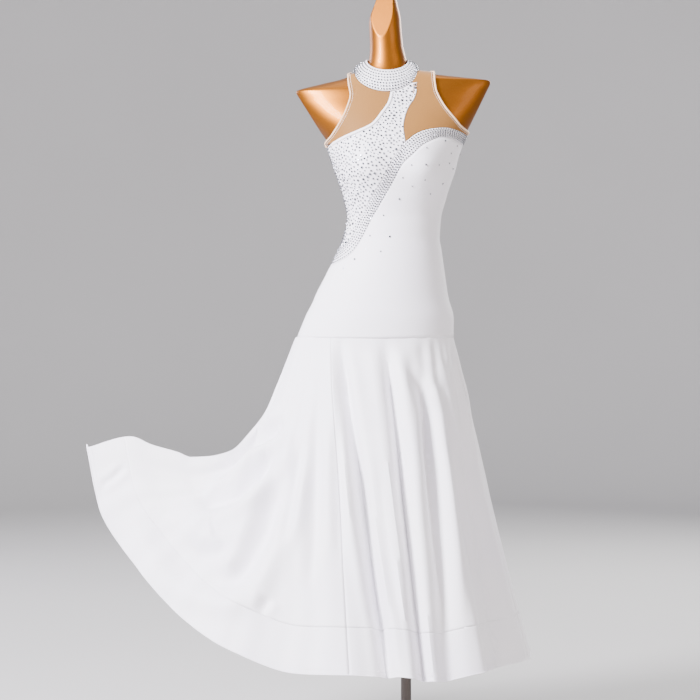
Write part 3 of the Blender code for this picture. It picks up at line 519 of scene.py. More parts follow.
def zip_point(across, z):
    """Middle of the zip's tapes: on the bodice below the collar and on the collar above its foot."""
    middle, right, left, _, _ = section(z)
    offset = NECK_X - middle + across
    angle = math.pi - np.arcsin(offset / np.where(offset < 0, right, left))
    low = on_torso(angle, np.minimum(z, COLLAR_FOOT["back"]))
    share = np.clip((z - COLLAR_FOOT["back"]) / (COLLAR_TOP["back"] - COLLAR_FOOT["back"]), 0, 1)
    high = np.stack([NECK_X + across, COLLAR_TOP_RADIUS["back"] + 0 * z,
                     COLLAR_TOP["back"] + 0 * z], axis=-1)
    return np.where(share[..., None] > 0, low * (1 - share[..., None]) + high * share[..., None], low)


# Making pieces

def linear(hex_colour):
    """An sRGB hex colour as linear RGBA."""
    parts = [int(hex_colour[i:i + 2], 16) / 255 for i in (1, 3, 5)]
    return (*(p / 12.92 if p <= 0.04045 else ((p + 0.055) / 1.055) ** 2.4 for p in parts), 1.0)


def srgb_default(hex_colour):
    """A colour property's default: the same hex colour without its alpha."""
    return linear(hex_colour)[:3]


def mesh_piece(name, points, faces, look, uvs=None, node=None, slot=None, body=STILL, sharp_deg=50):
    """A mesh piece that moves with the dress, in a material's finish, in place of a node. Its slot
    argument is not used.
    """
    mesh = bpy.data.meshes.new(name)
    mesh.from_pydata(np.asarray(points).reshape(-1, 3).tolist(), [], faces)
    if uvs is not None:
        layer = mesh.uv_layers.new(name="Cloth")
        corners = np.array([loop.vertex_index for loop in mesh.loops])
        layer.data.foreach_set("uv", np.asarray(uvs).reshape(-1, 2)[corners].ravel())
    mesh.materials.append(look)
    mesh.shade_smooth()
    mesh.set_sharp_from_angle(angle=math.radians(sharp_deg))
    mesh.update()
    piece = bpy.data.objects.new(name, mesh)
    bpy.context.scene.collection.objects.link(piece)
    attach(piece, body)
    if node:
        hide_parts(node)
    return piece


def grid_faces(rows, columns, closed=False):
    """Quads of a grid of points, its columns joined into rings where it is closed."""
    faces = []
    for row in range(rows - 1):
        for column in range(columns if closed else columns - 1):
            beside = (column + 1) % columns
            faces.append((row * columns + column, (row + 1) * columns + column,
                          (row + 1) * columns + beside, row * columns + beside))
    return faces


def end_caps(rings, sides):
    """The two faces that close a stack of rings, the first looking back down it."""
    return [tuple(range(sides))[::-1], tuple(range((rings - 1) * sides, rings * sides))]


def metric_uvs(points):
    """Each point's distance along its row and down its column, in metres, for the weave."""
    across = np.linalg.norm(np.diff(points, axis=1), axis=2)
    down = np.linalg.norm(np.diff(points, axis=0), axis=2)
    u = np.concatenate([np.zeros((len(points), 1)), np.cumsum(across, axis=1)], axis=1)
    v = np.concatenate([np.zeros((1, points.shape[1])), np.cumsum(down, axis=0)], axis=0)
    return np.stack([u - u.mean(axis=1, keepdims=True), v], axis=-1)


def cloth_piece(name, points, look, node, slot):
    """A cloth panel: a thin shell on a grid of points along its middle."""
    piece = mesh_piece(name, points, grid_faces(*points.shape[:2]), look, metric_uvs(points), node, slot)
    wall = piece.modifiers.new("Wall", "SOLIDIFY")
    wall.thickness = sizes().wall_mm / 1000
    wall.offset = 0.0


def on_bodice(grid):
    """A grid of angle and level pairs as points on the bodice."""
    return on_torso(grid[..., 0], grid[..., 1])


def normals_of(points):
    """Outward normal at each point of a grid whose columns run to the wearer's left."""
    across = np.gradient(points, axis=1)
    down = np.gradient(points, axis=0)
    normal = np.cross(down, across)
    return normal / np.maximum(np.linalg.norm(normal, axis=-1, keepdims=True), 1e-12)


def frame_of(normals, wanted):
    """Two directions across each normal, the first as near as can be to a wanted one."""
    first = wanted - (normals * wanted).sum(axis=1, keepdims=True) * normals
    first /= np.maximum(np.linalg.norm(first, axis=1, keepdims=True), 1e-9)
    return first, np.cross(normals, first)


def scattered_meshes(name, template, template_faces, centres, normals, along, scales, look, **more):
    """One joined mesh of a small shape repeated at each centre, its z along the normal there."""
    first, second = frame_of(normals, along)
    local = template[None] * scales[:, None, :]
    points = (centres[:, None] + local[..., 0:1] * first[:, None] + local[..., 1:2] * second[:, None]
              + local[..., 2:3] * normals[:, None])
    count = len(template)
    faces = [tuple(i + start for i in face) for start in range(0, count * len(centres), count)
             for face in template_faces]
    return mesh_piece(name, points, faces, look, **more)


def swept_tube(line, radius, sides=8, closed=False):
    """Points and faces of a tube of a radius along a line."""
    tangent = np.gradient(line, axis=0)
    if closed:
        tangent = np.roll(line, -1, axis=0) - np.roll(line, 1, axis=0)
    tangent /= np.maximum(np.linalg.norm(tangent, axis=1, keepdims=True), 1e-12)
    side = np.zeros_like(line)
    previous = np.cross(tangent[0], (0.3, 0.2, 1.0))
    for i, direction in enumerate(tangent):
        previous = previous - np.dot(previous, direction) * direction
        previous /= np.linalg.norm(previous)
        side[i] = previous
    other = np.cross(tangent, side)
    turn = np.linspace(0, 2 * math.pi, sides, endpoint=False)
    rings = line[:, None] + radius * (np.cos(turn)[None, :, None] * side[:, None]
                                      + np.sin(turn)[None, :, None] * other[:, None])
    count = len(line)
    faces = []
    for row in range(count if closed else count - 1):
        for column in range(sides):
            beside, below = (column + 1) % sides, (row + 1) % count
            faces.append((row * sides + column, row * sides + beside, below * sides + beside,
                          below * sides + column))
    if not closed:
        faces += end_caps(count, sides)
    return rings.reshape(-1, 3), faces


def rolled_uvs(along, sides=8):
    """Places in the weave of a rolled edge's points, at distances along it."""
    return np.stack([np.repeat(along, sides), np.tile(np.arange(sides), len(along)) * 0.001], axis=1)


def joined(parts):
    """Several lots of points and faces as one."""
    points, faces, start = [], [], 0
    for some_points, some_faces in parts:
        points.append(np.asarray(some_points).reshape(-1, 3))
        faces += [tuple(i + start for i in face) for face in some_faces]
        start += len(points[-1])
    return np.concatenate(points), faces


def sizes():
    """The sizes a user may change."""
    return bpy.context.scene.dress_sizes


def colours():
    """The colours a user may change."""
    return bpy.context.scene.dress_colours


# Materials

def add_node(tree, kind, settings=None, links=None):
    """Add a node to a material, with settings for its properties and inputs, and links to its inputs."""
    node = tree.nodes.new(kind)
    for key, value in (settings or {}).items():
        if isinstance(key, str) and hasattr(node, key):
            setattr(node, key, value)
        else:
            node.inputs[key].default_value = value
    for key, source in (links or {}).items():
        tree.links.new(source, node.inputs[key])
    return node


def new_material(name, settings):
    """A material with one Principled shader and its settings."""
    look = bpy.data.materials.get(name)
    if look:
        bpy.data.materials.remove(look)
    look = bpy.data.materials.new(name)
    look.use_nodes = True
    tree = look.node_tree
    shader = tree.nodes["Principled BSDF"]
    for key, value in settings.items():
        shader.inputs[key].default_value = value
    return look, tree, shader


def rgba(colour):
    """A colour property as RGBA."""
    return (*colour, 1.0)


def link_looks(tree, shader, colour, rough=None, bump=None):
    """Link the nodes that give a material's colour, roughness and relief to its shader."""
    for maker, output, socket in ((colour, 2, "Base Color"), (rough, "Result", "Roughness"),
                                  (bump, "Normal", "Normal")):
        if maker:
            tree.links.new(maker.outputs[output], shader.inputs[socket])


def cloth_weave(tree, shader, light, shade, thread_mm, depth, drift=0.5, roughness=(0.55, 0.7)):
    """Woven or knitted surface from the cloth's own threads: fine relief, and colour that drifts."""
    uv = add_node(tree, "ShaderNodeUVMap", {"uv_map": "Cloth"}).outputs["UV"]
    place = add_node(tree, "ShaderNodeTexCoord").outputs["Object"]
    turns = 2 * math.pi / (thread_mm / 1000)
    axes = add_node(tree, "ShaderNodeSeparateXYZ", links={0: uv}).outputs
    waves = []
    for axis in ("X", "Y"):
        scaled = add_node(tree, "ShaderNodeMath", {"operation": "MULTIPLY", 1: turns}, {0: axes[axis]})
        waves.append(add_node(tree, "ShaderNodeMath", {"operation": "SINE"}, {0: scaled.outputs[0]}))
    woven = add_node(tree, "ShaderNodeMath", {"operation": "MULTIPLY"},
                     {0: waves[0].outputs[0], 1: waves[1].outputs[0]})
    grain = add_node(tree, "ShaderNodeTexNoise", {"Scale": 0.6 / (thread_mm / 1000), "Detail": 3.0,
                                                  "Roughness": 0.6}, {"Vector": place})
    height = add_node(tree, "ShaderNodeMath", {"operation": "MULTIPLY_ADD", 1: 0.35},
                      {0: woven.outputs[0], 2: grain.outputs["Fac"]})
    bump = add_node(tree, "ShaderNodeBump", {"Strength": 0.55, "Distance": depth / 1000},
                    {"Height": height.outputs[0]})
    slow = add_node(tree, "ShaderNodeTexNoise", {"Scale": 5.0, "Detail": 2.0}, {"Vector": place})
    spread = add_node(tree, "ShaderNodeMapRange", {"From Min": 0.35, "From Max": 0.65, "To Min": 0.0,
                                                   "To Max": drift}, {"Value": slow.outputs["Fac"]})
    colour = add_node(tree, "ShaderNodeMix", {"data_type": "RGBA", 6: light, 7: shade},
                      {0: spread.outputs["Result"]})
    rough = add_node(tree, "ShaderNodeMapRange", {"To Min": roughness[0], "To Max": roughness[1]},
                     {"Value": grain.outputs["Fac"]})
    link_looks(tree, shader, colour, rough, bump)
    return uv


def stretch_crepe():
    """Warp-knitted stretch crepe, heat set: a fine matt grain with a soft sheen at glancing angles."""
    look, tree, shader = new_material("stretch_crepe_knitted", {"IOR": 1.5, "Sheen Weight": 0.25,
                                                                "Sheen Roughness": 0.45,
                                                                "Specular IOR Level": 0.3})
    # real grain 0.4 mm, drawn at 1.4 mm so that it shows
    cloth_weave(tree, shader, rgba(colours().cloth), rgba(colours().cloth_shade), 1.4, 0.12)
    return look


def horsehair_band():
    """The same crepe over a crin braid: the braid's lattice shows through as a faint stiff texture."""
    look, tree, shader = new_material("stretch_crepe_over_crin", {"IOR": 1.5, "Sheen Weight": 0.2,
                                                                  "Sheen Roughness": 0.45,
                                                                  "Specular IOR Level": 0.3})
    # real lattice 2 mm, drawn at 3 mm
    cloth_weave(tree, shader, rgba(colours().cloth), rgba(colours().cloth_shade), 3.0, 0.20, drift=0.7)
    return look


def power_mesh():
    """Knitted nude power mesh: sheer, its net of small holes letting the form's gold warm it."""
    look, tree, shader = new_material("power_mesh_knitted", {"IOR": 1.5, "Sheen Weight": 0.15,
                                                             "Specular IOR Level": 0.25})
    uv = cloth_weave(tree, shader, rgba(colours().mesh), rgba(colours().mesh_shade), 1.6, 0.15,
                     drift=0.6)
    # real holes 0.8 mm apart, drawn at 1.6 mm
    holes = add_node(tree, "ShaderNodeTexVoronoi", {"voronoi_dimensions": "2D", "Scale": 1 / 0.0016,
                                                    "Randomness": 0.25}, {"Vector": uv})
    thread = add_node(tree, "ShaderNodeMapRange", {"From Min": 0.18, "From Max": 0.42, "To Min": 0.72,
                                                   "To Max": 1.0}, {"Value": holes.outputs["Distance"]})
    tree.links.new(thread.outputs["Result"], shader.inputs["Alpha"])
    return look


def elastic_binding():
    """Woven nude elastic rolled over the armhole's edge: fine ribs with painted shade in their grooves,
    and a satin face.
    """
    look, tree, shader = new_material("elastic_binding_woven", {"IOR": 1.5, "Sheen Weight": 0.2,
                                                                "Roughness": 0.5})
    place = add_node(tree, "ShaderNodeTexCoord").outputs["Object"]
    # real ribs 0.5 mm, drawn at 1.2 mm
    ribs_and_groove_shade = add_node(tree, "ShaderNodeTexWave", {"wave_type": "BANDS", "bands_direction": "Z",
                                                "Scale": 0.314 / 0.0012, "Distortion": 0.4},
                    {"Vector": place})
    bump = add_node(tree, "ShaderNodeBump", {"Strength": 0.5, "Distance": 0.0002},
                    {"Height": ribs_and_groove_shade.outputs["Fac"]})
    # painted shade: the colour darkens where the ribs' height is low, in the grooves
    colour = add_node(tree, "ShaderNodeMix", {"data_type": "RGBA", 6: linear("#DDB48C"),
                                              7: rgba(colours().binding)}, {0: ribs_and_groove_shade.outputs["Fac"]})
    link_looks(tree, shader, colour, None, bump)
    return look


def foiled_crystal():
    """Cut glass with a silvered back: dark facets beside bright ones, as each mirrors another way:
    painted reflections in random patches.
    """
    look, tree, shader = new_material("glass_crystal_foiled", {"Metallic": 0.8, "Coat Weight": 0.7,
                                                               "Coat Roughness": 0.02})
    place = add_node(tree, "ShaderNodeTexCoord").outputs["Object"]
    painted_facet_reflections = add_node(tree, "ShaderNodeTexVoronoi", {"Scale": 420.0}, {"Vector": place})
    tone = add_node(tree, "ShaderNodeSeparateColor", links={0: painted_facet_reflections.outputs["Color"]})
    # painted reflection: random cells of a dark tone beside cells of the bright crystal colour
    colour = add_node(tree, "ShaderNodeMix", {"data_type": "RGBA", 6: linear("#1C1E22"),
                                              7: rgba(colours().crystal)}, {0: tone.outputs[0]})
    rough = add_node(tree, "ShaderNodeMapRange", {"To Min": 0.03, "To Max": 0.16},
                     {"Value": tone.outputs[1]})
    link_looks(tree, shader, colour, rough)
    return look


def gold_lacquer():
    """Gold pearl lacquer sprayed on a moulded shell: fine metal flake and a satin gloss."""
    look, tree, shader = new_material("gold_pearl_lacquer", {"Metallic": 0.90, "Coat Weight": 0.08,
                                                             "Coat Roughness": 0.08})
    place = add_node(tree, "ShaderNodeTexCoord").outputs["Object"]
    # real flake 0.1 mm, drawn at 0.7 mm
    flake = add_node(tree, "ShaderNodeTexVoronoi", {"Scale": 1 / 0.0007}, {"Vector": place})
    tone = add_node(tree, "ShaderNodeSeparateColor", links={0: flake.outputs["Color"]})
    cloud = add_node(tree, "ShaderNodeTexNoise", {"Scale": 9.0, "Detail": 4.0}, {"Vector": place})
    base = add_node(tree, "ShaderNodeMix", {"data_type": "RGBA", 6: rgba(colours().gold),
                                            7: rgba(colours().gold_shade)}, {0: cloud.outputs["Fac"]})
    glint = add_node(tree, "ShaderNodeMapRange", {"From Min": 0.0, "From Max": 1.0, "To Min": 0.0,
                                                  "To Max": 0.14}, {"Value": tone.outputs[0]})
    colour = add_node(tree, "ShaderNodeMix", {"data_type": "RGBA", 7: linear("#B57C24")},
                      {0: glint.outputs["Result"], 6: base.outputs[2]})
    rough = add_node(tree, "ShaderNodeMapRange", {"To Min": 0.40, "To Max": 0.48},
                     {"Value": cloud.outputs["Fac"]})
    peel = add_node(tree, "ShaderNodeTexNoise", {"Scale": 160.0, "Detail": 1.0}, {"Vector": place})
    bump = add_node(tree, "ShaderNodeBump", {"Strength": 0.06, "Distance": 0.001},
                    {"Height": peel.outputs["Fac"]})
    link_looks(tree, shader, colour, rough, bump)
    return look


def dark_steel():
    """Drawn steel tube with a dark powder coat, worn a little: fine drawn lines and a satin gloss."""
    look, tree, shader = new_material("steel_powder_coated", {"Metallic": 0.6, "Coat Weight": 0.2})
    place = add_node(tree, "ShaderNodeTexCoord").outputs["Object"]
    # real grit 0.3 mm, drawn at 1 mm
    grit = add_node(tree, "ShaderNodeTexNoise", {"Scale": 1000.0, "Detail": 2.0}, {"Vector": place})
    worn = add_node(tree, "ShaderNodeTexNoise", {"Scale": 14.0, "Detail": 5.0}, {"Vector": place})
    colour = add_node(tree, "ShaderNodeMix", {"data_type": "RGBA", 6: linear("#3A3431"),
                                              7: linear("#5C544E")},
                      {0: worn.outputs["Fac"]})
    rough = add_node(tree, "ShaderNodeMapRange", {"To Min": 0.30, "To Max": 0.50},
                     {"Value": worn.outputs["Fac"]})
    bump = add_node(tree, "ShaderNodeBump", {"Strength": 0.25, "Distance": 0.0003},
                    {"Height": grit.outputs["Fac"]})
    link_looks(tree, shader, colour, rough, bump)
    return look


def spun_thread(name, hex_colour):
    """Spun polyester sewing thread: a twist of fibres with a soft shine, painted white on the twist's
    high turns.
    """
    look, tree, shader = new_material(name, {"Roughness": 0.5, "Sheen Weight": 0.3})
    place = add_node(tree, "ShaderNodeTexCoord").outputs["Object"]
    twist_and_shine = add_node(tree, "ShaderNodeTexWave", {"Scale": 900.0, "Distortion": 1.5}, {"Vector": place})
    # painted highlight: the colour goes to white where the twist stands highest
    colour = add_node(tree, "ShaderNodeMix", {"data_type": "RGBA", 6: linear(hex_colour),
                                              7: linear("#FFFFFF")}, {0: twist_and_shine.outputs["Fac"]})
    bump = add_node(tree, "ShaderNodeBump", {"Strength": 0.4, "Distance": 0.0001},
                    {"Height": twist_and_shine.outputs["Fac"]})
    link_looks(tree, shader, colour, None, bump)
    return look


def cast_zinc():
    """Die-cast zinc with white enamel, worn to metal in places: smooth, with a slight orange peel."""
    look, tree, shader = new_material("zinc_enamelled", {"Coat Weight": 0.6, "Coat Roughness": 0.1})
    place = add_node(tree, "ShaderNodeTexCoord").outputs["Object"]
    worn = add_node(tree, "ShaderNodeTexNoise", {"Scale": 700.0, "Detail": 4.0}, {"Vector": place})
    bare = add_node(tree, "ShaderNodeMapRange", {"From Min": 0.60, "From Max": 0.68},
                    {"Value": worn.outputs["Fac"]})
    colour = add_node(tree, "ShaderNodeMix", {"data_type": "RGBA", 6: linear("#EFEDEC"),
                                              7: linear("#A9A8A6")},
                      {0: bare.outputs["Result"]})
    tree.links.new(bare.outputs["Result"], shader.inputs["Metallic"])
    rough = add_node(tree, "ShaderNodeMapRange", {"To Min": 0.22, "To Max": 0.40},
                     {"Value": worn.outputs["Fac"]})
    link_looks(tree, shader, colour, rough)
    return look


def painted_floor():
    """Pale matt studio paint, rolled: almost even, with a faint roller stipple."""
    look, tree, shader = new_material("matt_paint_rolled", {"Specular IOR Level": 0.25})
    place = add_node(tree, "ShaderNodeTexCoord").outputs["Object"]
    stipple = add_node(tree, "ShaderNodeTexNoise", {"Scale": 300.0, "Detail": 2.0}, {"Vector": place})
    slow = add_node(tree, "ShaderNodeTexNoise", {"Scale": 0.7, "Detail": 2.0}, {"Vector": place})
    colour = add_node(tree, "ShaderNodeMix", {"data_type": "RGBA", 6: rgba(colours().floor),
                                              7: linear("#B5B3B1")}, {0: slow.outputs["Fac"]})
    shader.inputs["Roughness"].default_value = 0.8
    bump = add_node(tree, "ShaderNodeBump", {"Strength": 0.08, "Distance": 0.001},
                    {"Height": stipple.outputs["Fac"]})
    link_looks(tree, shader, colour, None, bump)
    return look


# Panels, shared by the operators that need their places

PANELS = {}


def torso_panels():
    """Points of every bodice panel, worked out once."""
    if PANELS:
        return PANELS
    half = SEAM / 2
    inner, outer = ({name: edge(points, rows, way * half) for name, points, rows in (
        ("strap left", STRAP_LEFT_EDGE, STRAP_ROWS), ("strap right", STRAP_RIGHT_EDGE, STRAP_ROWS + 16),
        ("top", BORDER_TOP, STRAP_ROWS), ("diagonal", BORDER_DIAGONAL, DIAGONAL_ROWS),
        ("foot", BORDER_FOOT, FOOT_COLUMNS))} for way in (1, -1))

    left = np.concatenate([inner["strap left"], inner["diagonal"][1:]])
    strap = outer["strap right"]
    underarm = np.linspace(strap[-1], (-SIDE_SEAM_ANGLE, UNDERARM_Z), 17)[1:]
    below = side_line(-1, UNDERARM_Z, CRYSTAL_FOOT_Z, len(left) - len(strap) - len(underarm) + 1)[1:]
    right = np.concatenate([strap, underarm, below])
    top = under_collar(right[0], left[0], 10, 50, PANEL_COLUMNS)
    PANELS["crystal_panel"] = on_bodice(patch(right, left, np.linspace(0, 1, PANEL_COLUMNS), top=top))
    PANELS["strap_edge"] = strap

    high = np.concatenate([outer["top"], outer["diagonal"][1:]])
    seam = inner["foot"]
    PANELS["crystal_border"] = on_bodice(patch(high, seam, np.linspace(0, 1, 9)))

    seam = outer["foot"]
    hip = np.stack([seam[:, 0], np.full(FOOT_COLUMNS, HIP_Z + SEAM)], axis=1)
    down = np.linspace(0, 1, PANEL_COLUMNS)[:, None, None]
    PANELS["front_panel"] = on_bodice((seam * (1 - down) + hip * down)[:, ::-1])

    armhole = edge(ARMHOLE["right"], STRAP_ROWS + 16, -ARMHOLE_EDGE)
    top = under_collar(armhole[0], inner["strap right"][0], -84, 2, 41)
    PANELS["mesh_front_right"] = on_bodice(yoke_patch(armhole, inner["strap right"],
                                                      np.linspace(0, 1, 41), top))

    bottom = inner["top"][::-1]
    armhole = edge(ARMHOLE["left"], STRAP_ROWS, ARMHOLE_EDGE)
    bottom[0], bottom[-1] = outer["strap left"][-1], armhole[-1]
    top = under_collar(outer["strap left"][0], armhole[0], 56, 86, STRAP_ROWS)
    PANELS["mesh_front_left"] = on_bodice(yoke_patch(outer["strap left"], armhole,
                                                     np.linspace(0, 1, STRAP_ROWS), top, bottom))

    for side, way in (("right", -1), ("left", 1)):
        middle = back_seam(way, BACK_YOKE_Z, HIP_Z + SEAM, 70)
        outer_edge = side_line(way, ARMHOLE_FOOT_Z[side] - ARMHOLE_EDGE, HIP_Z + SEAM, 70)
        outer_edge[:, 0] += 2 * way * (math.pi / 2 - SIDE_SEAM_ANGLE)
        edges = (outer_edge, middle) if way > 0 else (middle, outer_edge)
        PANELS["back_" + side] = on_bodice(patch(*edges, np.linspace(0, 1, 40)))

        armhole = edge(ARMHOLE[side][:-1], 60, -way * ARMHOLE_EDGE, back=True)
        corner = outer_edge[0] + (way * 16 * ARMHOLE_EDGE, 0.5 * ARMHOLE_EDGE)
        armhole = even(np.concatenate([armhole, [corner]]), 48)
        middle = back_seam(way, COLLAR_FOOT["back"] - COLLAR_SEAM, BACK_YOKE_Z + SEAM, 48)
        yoke = np.linspace(corner, middle[-1], 41)
        top = under_collar(armhole[0], middle[0], way * 96, way * 172, 41)
        across = 1 - np.cos(np.linspace(0, math.pi / 2, 41))
        grid = yoke_patch(armhole, middle, across, top, yoke, back=True)
        PANELS["mesh_back_" + side] = on_bodice(grid[:, ::way])
    return PANELS


def on_grid(points, row, column):
    """Points between a grid's own, at fractional rows and columns."""
    r, c = np.clip(np.floor(row).astype(int), 0, points.shape[0] - 2), \
        np.clip(np.floor(column).astype(int), 0, points.shape[1] - 2)
    fr, fc = (row - r)[:, None], (column - c)[:, None]
    return (points[r, c] * (1 - fr) * (1 - fc) + points[r + 1, c] * fr * (1 - fc)
            + points[r, c + 1] * (1 - fr) * fc + points[r + 1, c + 1] * fr * fc)


def evenly(line, pitch, keep=0.0):
    """Places a pitch apart along a line of points, and the direction of the line at each."""
    spaced = along_line(line)
    count = max(2, int(round((spaced[-1] - 2 * keep) / pitch)) + 1)
    at = np.linspace(keep, spaced[-1] - keep, count)
    places = np.stack([np.interp(at, spaced, line[:, axis]) for axis in range(3)], axis=1)
    ahead = np.gradient(places, axis=0)
    return places, ahead / np.maximum(np.linalg.norm(ahead, axis=1, keepdims=True), 1e-9)


def outward(places):
    """Outward directions of the torso at places near it."""
    middle, right, left, front, back = section(places[:, 2])
    offset = places[:, 0] - middle
    reach = np.where(offset < 0, right, left)
    depth = np.where(places[:, 1] < 0, front, back)
    normal = np.stack([offset / reach ** 2, places[:, 1] / depth ** 2, 0 * offset], axis=1)
    return normal / np.maximum(np.linalg.norm(normal, axis=1, keepdims=True), 1e-9)


def stone_shape(sides=8):
    """Points and faces of a cut stone of radius 1, its flat foot at height 0: a girdle, a sloping
    crown and a table."""
    rings = ((0.86, 0.0), (1.0, 0.20), (0.80, 0.46), (0.50, 0.62))
    turn = np.linspace(0, 2 * math.pi, sides, endpoint=False)
    points = [(radius * math.cos(a + 0.5 * (i % 2) * 2 * math.pi / sides),
               radius * math.sin(a + 0.5 * (i % 2) * 2 * math.pi / sides), height)
              for i, (radius, height) in enumerate(rings) for a in turn]
    faces = [(row * sides + a, row * sides + (a + 1) % sides, (row + 1) * sides + (a + 1) % sides,
              (row + 1) * sides + a) for row in range(len(rings) - 1) for a in range(sides)]
    return np.array(points), faces + end_caps(len(rings), sides)


def stones(name, centres, normals, radii, seed):
    """One joined mesh of stones glued on the cloth, each turned its own way and slightly tilted."""
    rng = np.random.default_rng(seed)
    template, faces = stone_shape()
    spin = rng.normal(size=(len(centres), 3))
    tilted = normals + 0.07 * rng.normal(size=normals.shape)
    tilted /= np.linalg.norm(tilted, axis=1, keepdims=True)
    scales = np.repeat(np.asarray(radii)[:, None], 3, axis=1)
    return scattered_meshes(name, template, faces, centres + normals * 0.0006, tilted, spin, scales,
                            foiled_crystal_look(), sharp_deg=8)


LOOKS = {}


def look_of(key, make):
    """A material, made once and shared."""
    if key not in LOOKS:
        LOOKS[key] = make()
    return LOOKS[key]


def foiled_crystal_look():
    """The crystals' material."""
    return look_of("crystal", foiled_crystal)


def white_thread():
    """The thread that sews the white cloth."""
    return look_of("white_thread", lambda: spun_thread("thread_white_spun", "#E4E0E6"))


# A box one wide and one long that stands on height 0
BOX = np.array([(x, y, z) for x in (-0.5, 0.5) for y in (-0.5, 0.5) for z in (0.0, 1.0)])
BOX_FACES = [(0, 1, 3, 2), (4, 6, 7, 5), (0, 4, 5, 1), (2, 3, 7, 6), (0, 2, 6, 4), (1, 5, 7, 3)]


def stitched(lines, name, look, length=0.0026, gap=0.0016, radius=0.00035, lift=0.0009):
    """Rows of small stitches lying on the cloth along lines of points with their normals."""
    centres, normals, ahead = [], [], []
    for line, normal_of in lines:
        places, forward = evenly(line, length + gap, keep=length)
        facing = normal_of(places)
        centres.append(places + facing * lift)
        normals.append(facing)
        ahead.append(forward)
    centres, normals, ahead = (np.concatenate(lot) for lot in (centres, normals, ahead))
    scales = np.tile([length, 2 * radius, radius], (len(centres), 1))
    return scattered_meshes(name, BOX, BOX_FACES, centres, normals, ahead, scales, look)


def skirt_outward(along, down):
    """Function giving the skirt's outward directions for places found at those threads and shares."""
    def facing(places):
        share = np.linspace(0, 1, len(places))
        a = np.interp(share, np.linspace(0, 1, len(along)), along)
        d = np.interp(share, np.linspace(0, 1, len(down)), down)
        normal = lifted(lambda u, v: skirt_base(u, -v), a, -d, np.full(len(a), 1.0)) - skirt_base(a, d)
        return normal / np.linalg.norm(normal, axis=1, keepdims=True)
    return facing


# Sizes and colours

class DressSizes(bpy.types.PropertyGroup):
    """Sizes a user may change."""
    wall_mm: FloatProperty(name="Cloth", description="Thickness of every cloth panel, in millimetres",
                           default=1.0, min=0.6, max=1.6)
    stone_mm: FloatProperty(name="Stone", description="Width of the usual crystal, in millimetres",
                            default=4.3, min=2.0, max=6.0)
    stone_gap_mm: FloatProperty(name="Stone gap", description="Least gap between two scattered "
                                "crystals, in millimetres", default=2.3, min=0.5, max=8.0)
    border_rows: IntProperty(name="Border rows", description="Rows of crystals along the border",
                             default=5, min=1, max=8)
    collar_rows: IntProperty(name="Collar rows", description="Rows of crystals round the collar",
                             default=7, min=1, max=10)
    skirt_step_mm: FloatProperty(name="Skirt step", description="Spacing of the skirt's columns of "
                                 "points along the hem, in millimetres", default=6.5, min=4.0, max=20.0)


def colour_property(name, description, hex_colour):
    """A colour property with its default."""
    return FloatVectorProperty(name=name, description=description, subtype="COLOR", size=3, min=0.0,
                               max=1.0, default=srgb_default(hex_colour))


class DressColours(bpy.types.PropertyGroup):
    """Colours a user may change."""
    cloth: colour_property("Cloth", "White of the stretch crepe", "#F7F5F8")
    cloth_shade: colour_property("Cloth shade", "Cooler white that the crepe drifts to", "#ECE8F3")
    mesh: colour_property("Mesh", "Nude of the power mesh", "#93652C")
    mesh_shade: colour_property("Mesh shade", "Deeper nude that the mesh drifts to", "#80541F")
    # tone of the elastic's raised ribs; its grooves get a painted darker shade
    binding: colour_property("Binding", "Light nude of the armholes' elastic", "#F3CFAA")
    # bright tone of the crystals' painted reflections, mixed at random with a dark tone
    crystal: colour_property("Crystal", "Silver of the crystals' foil", "#8A8F99")
    gold: colour_property("Gold", "Gold of the dress form's lacquer", "#925611")
    gold_shade: colour_property("Gold shade", "Deeper gold that the lacquer drifts to", "#774209")
    floor: colour_property("Floor", "Pale paint of the studio's floor", "#BEBCBA")


# Operators, in the order they run

TUCK = 0.003              # share of the skirt's length that each piece runs on under the one above
TUCK_ASIDE = 0.0015       # how far each gore runs on under the one beside it
TUCK_DEPTH = 0.00015      # how much lower a tucked edge lies


class DRESS_OT_skirt(bpy.types.Operator):
    """Build the skirt's four gores and the stiff band along each one's hem"""
    bl_idname = "dress.skirt"
    bl_label = "Skirt gores and hem band"

    def execute(self, context):
        cloth, crin = look_of("crepe", stretch_crepe), look_of("crin", horsehair_band)
        step = sizes().skirt_step_mm / 1000
        for name, (first_deg, last_deg) in GORE_SEAMS_DEG.items():
            first, last = hem_distance(first_deg) + SEAM / 2, hem_distance(last_deg) - SEAM / 2
            across = np.linspace(first, last, round((last - first) / step) + 1)
            band = name.replace("skirt", "hem_band")
            for node, look, top, bottom, rows in ((name, cloth, -TUCK, BAND_START, 112),
                                                  (band, crin, BAND_START - TUCK, 1.0, 22)):
                down = np.linspace(top, bottom, rows)
                threads, shares = np.meshgrid(across, down)
                tucked = np.maximum(np.clip(1 - (shares - top) / (2 * TUCK), 0, 1),
                                    np.clip(1 - (threads - across[0]) / (2 * TUCK_ASIDE), 0, 1))
                lift = LIFT - TUCK_DEPTH * tucked
                cloth_piece(node + "_cloth", on_skirt(threads, shares, lift), look, node,
                            "white_stretch_cloth")
        return {"FINISHED"}


class DRESS_OT_hem_edge(bpy.types.Operator):
    """Build the rolled edge all round the hem and the stitches that hold the stiff band"""
    bl_idname = "dress.hem_edge"
    bl_label = "Hem's rolled edge and stitches"

    def execute(self, context):
        along = np.linspace(0, HEM_LENGTH, 620, endpoint=False)
        line = on_skirt(along, np.full_like(along, 0.9985))
        points, faces = swept_tube(line, 0.0015, sides=8, closed=True)
        mesh_piece("hem_rolled_edge", points, faces, look_of("crepe", stretch_crepe),
                   uvs=rolled_uvs(along),
                   slot="white_stretch_cloth")
        along = np.linspace(0.004, HEM_LENGTH - 0.004, 700)
        down = np.full_like(along, HEM_STITCH_SHARE)
        stitched([(on_skirt(along, down), skirt_outward(along, down))], "hem_stitches", white_thread())
        return {"FINISHED"}


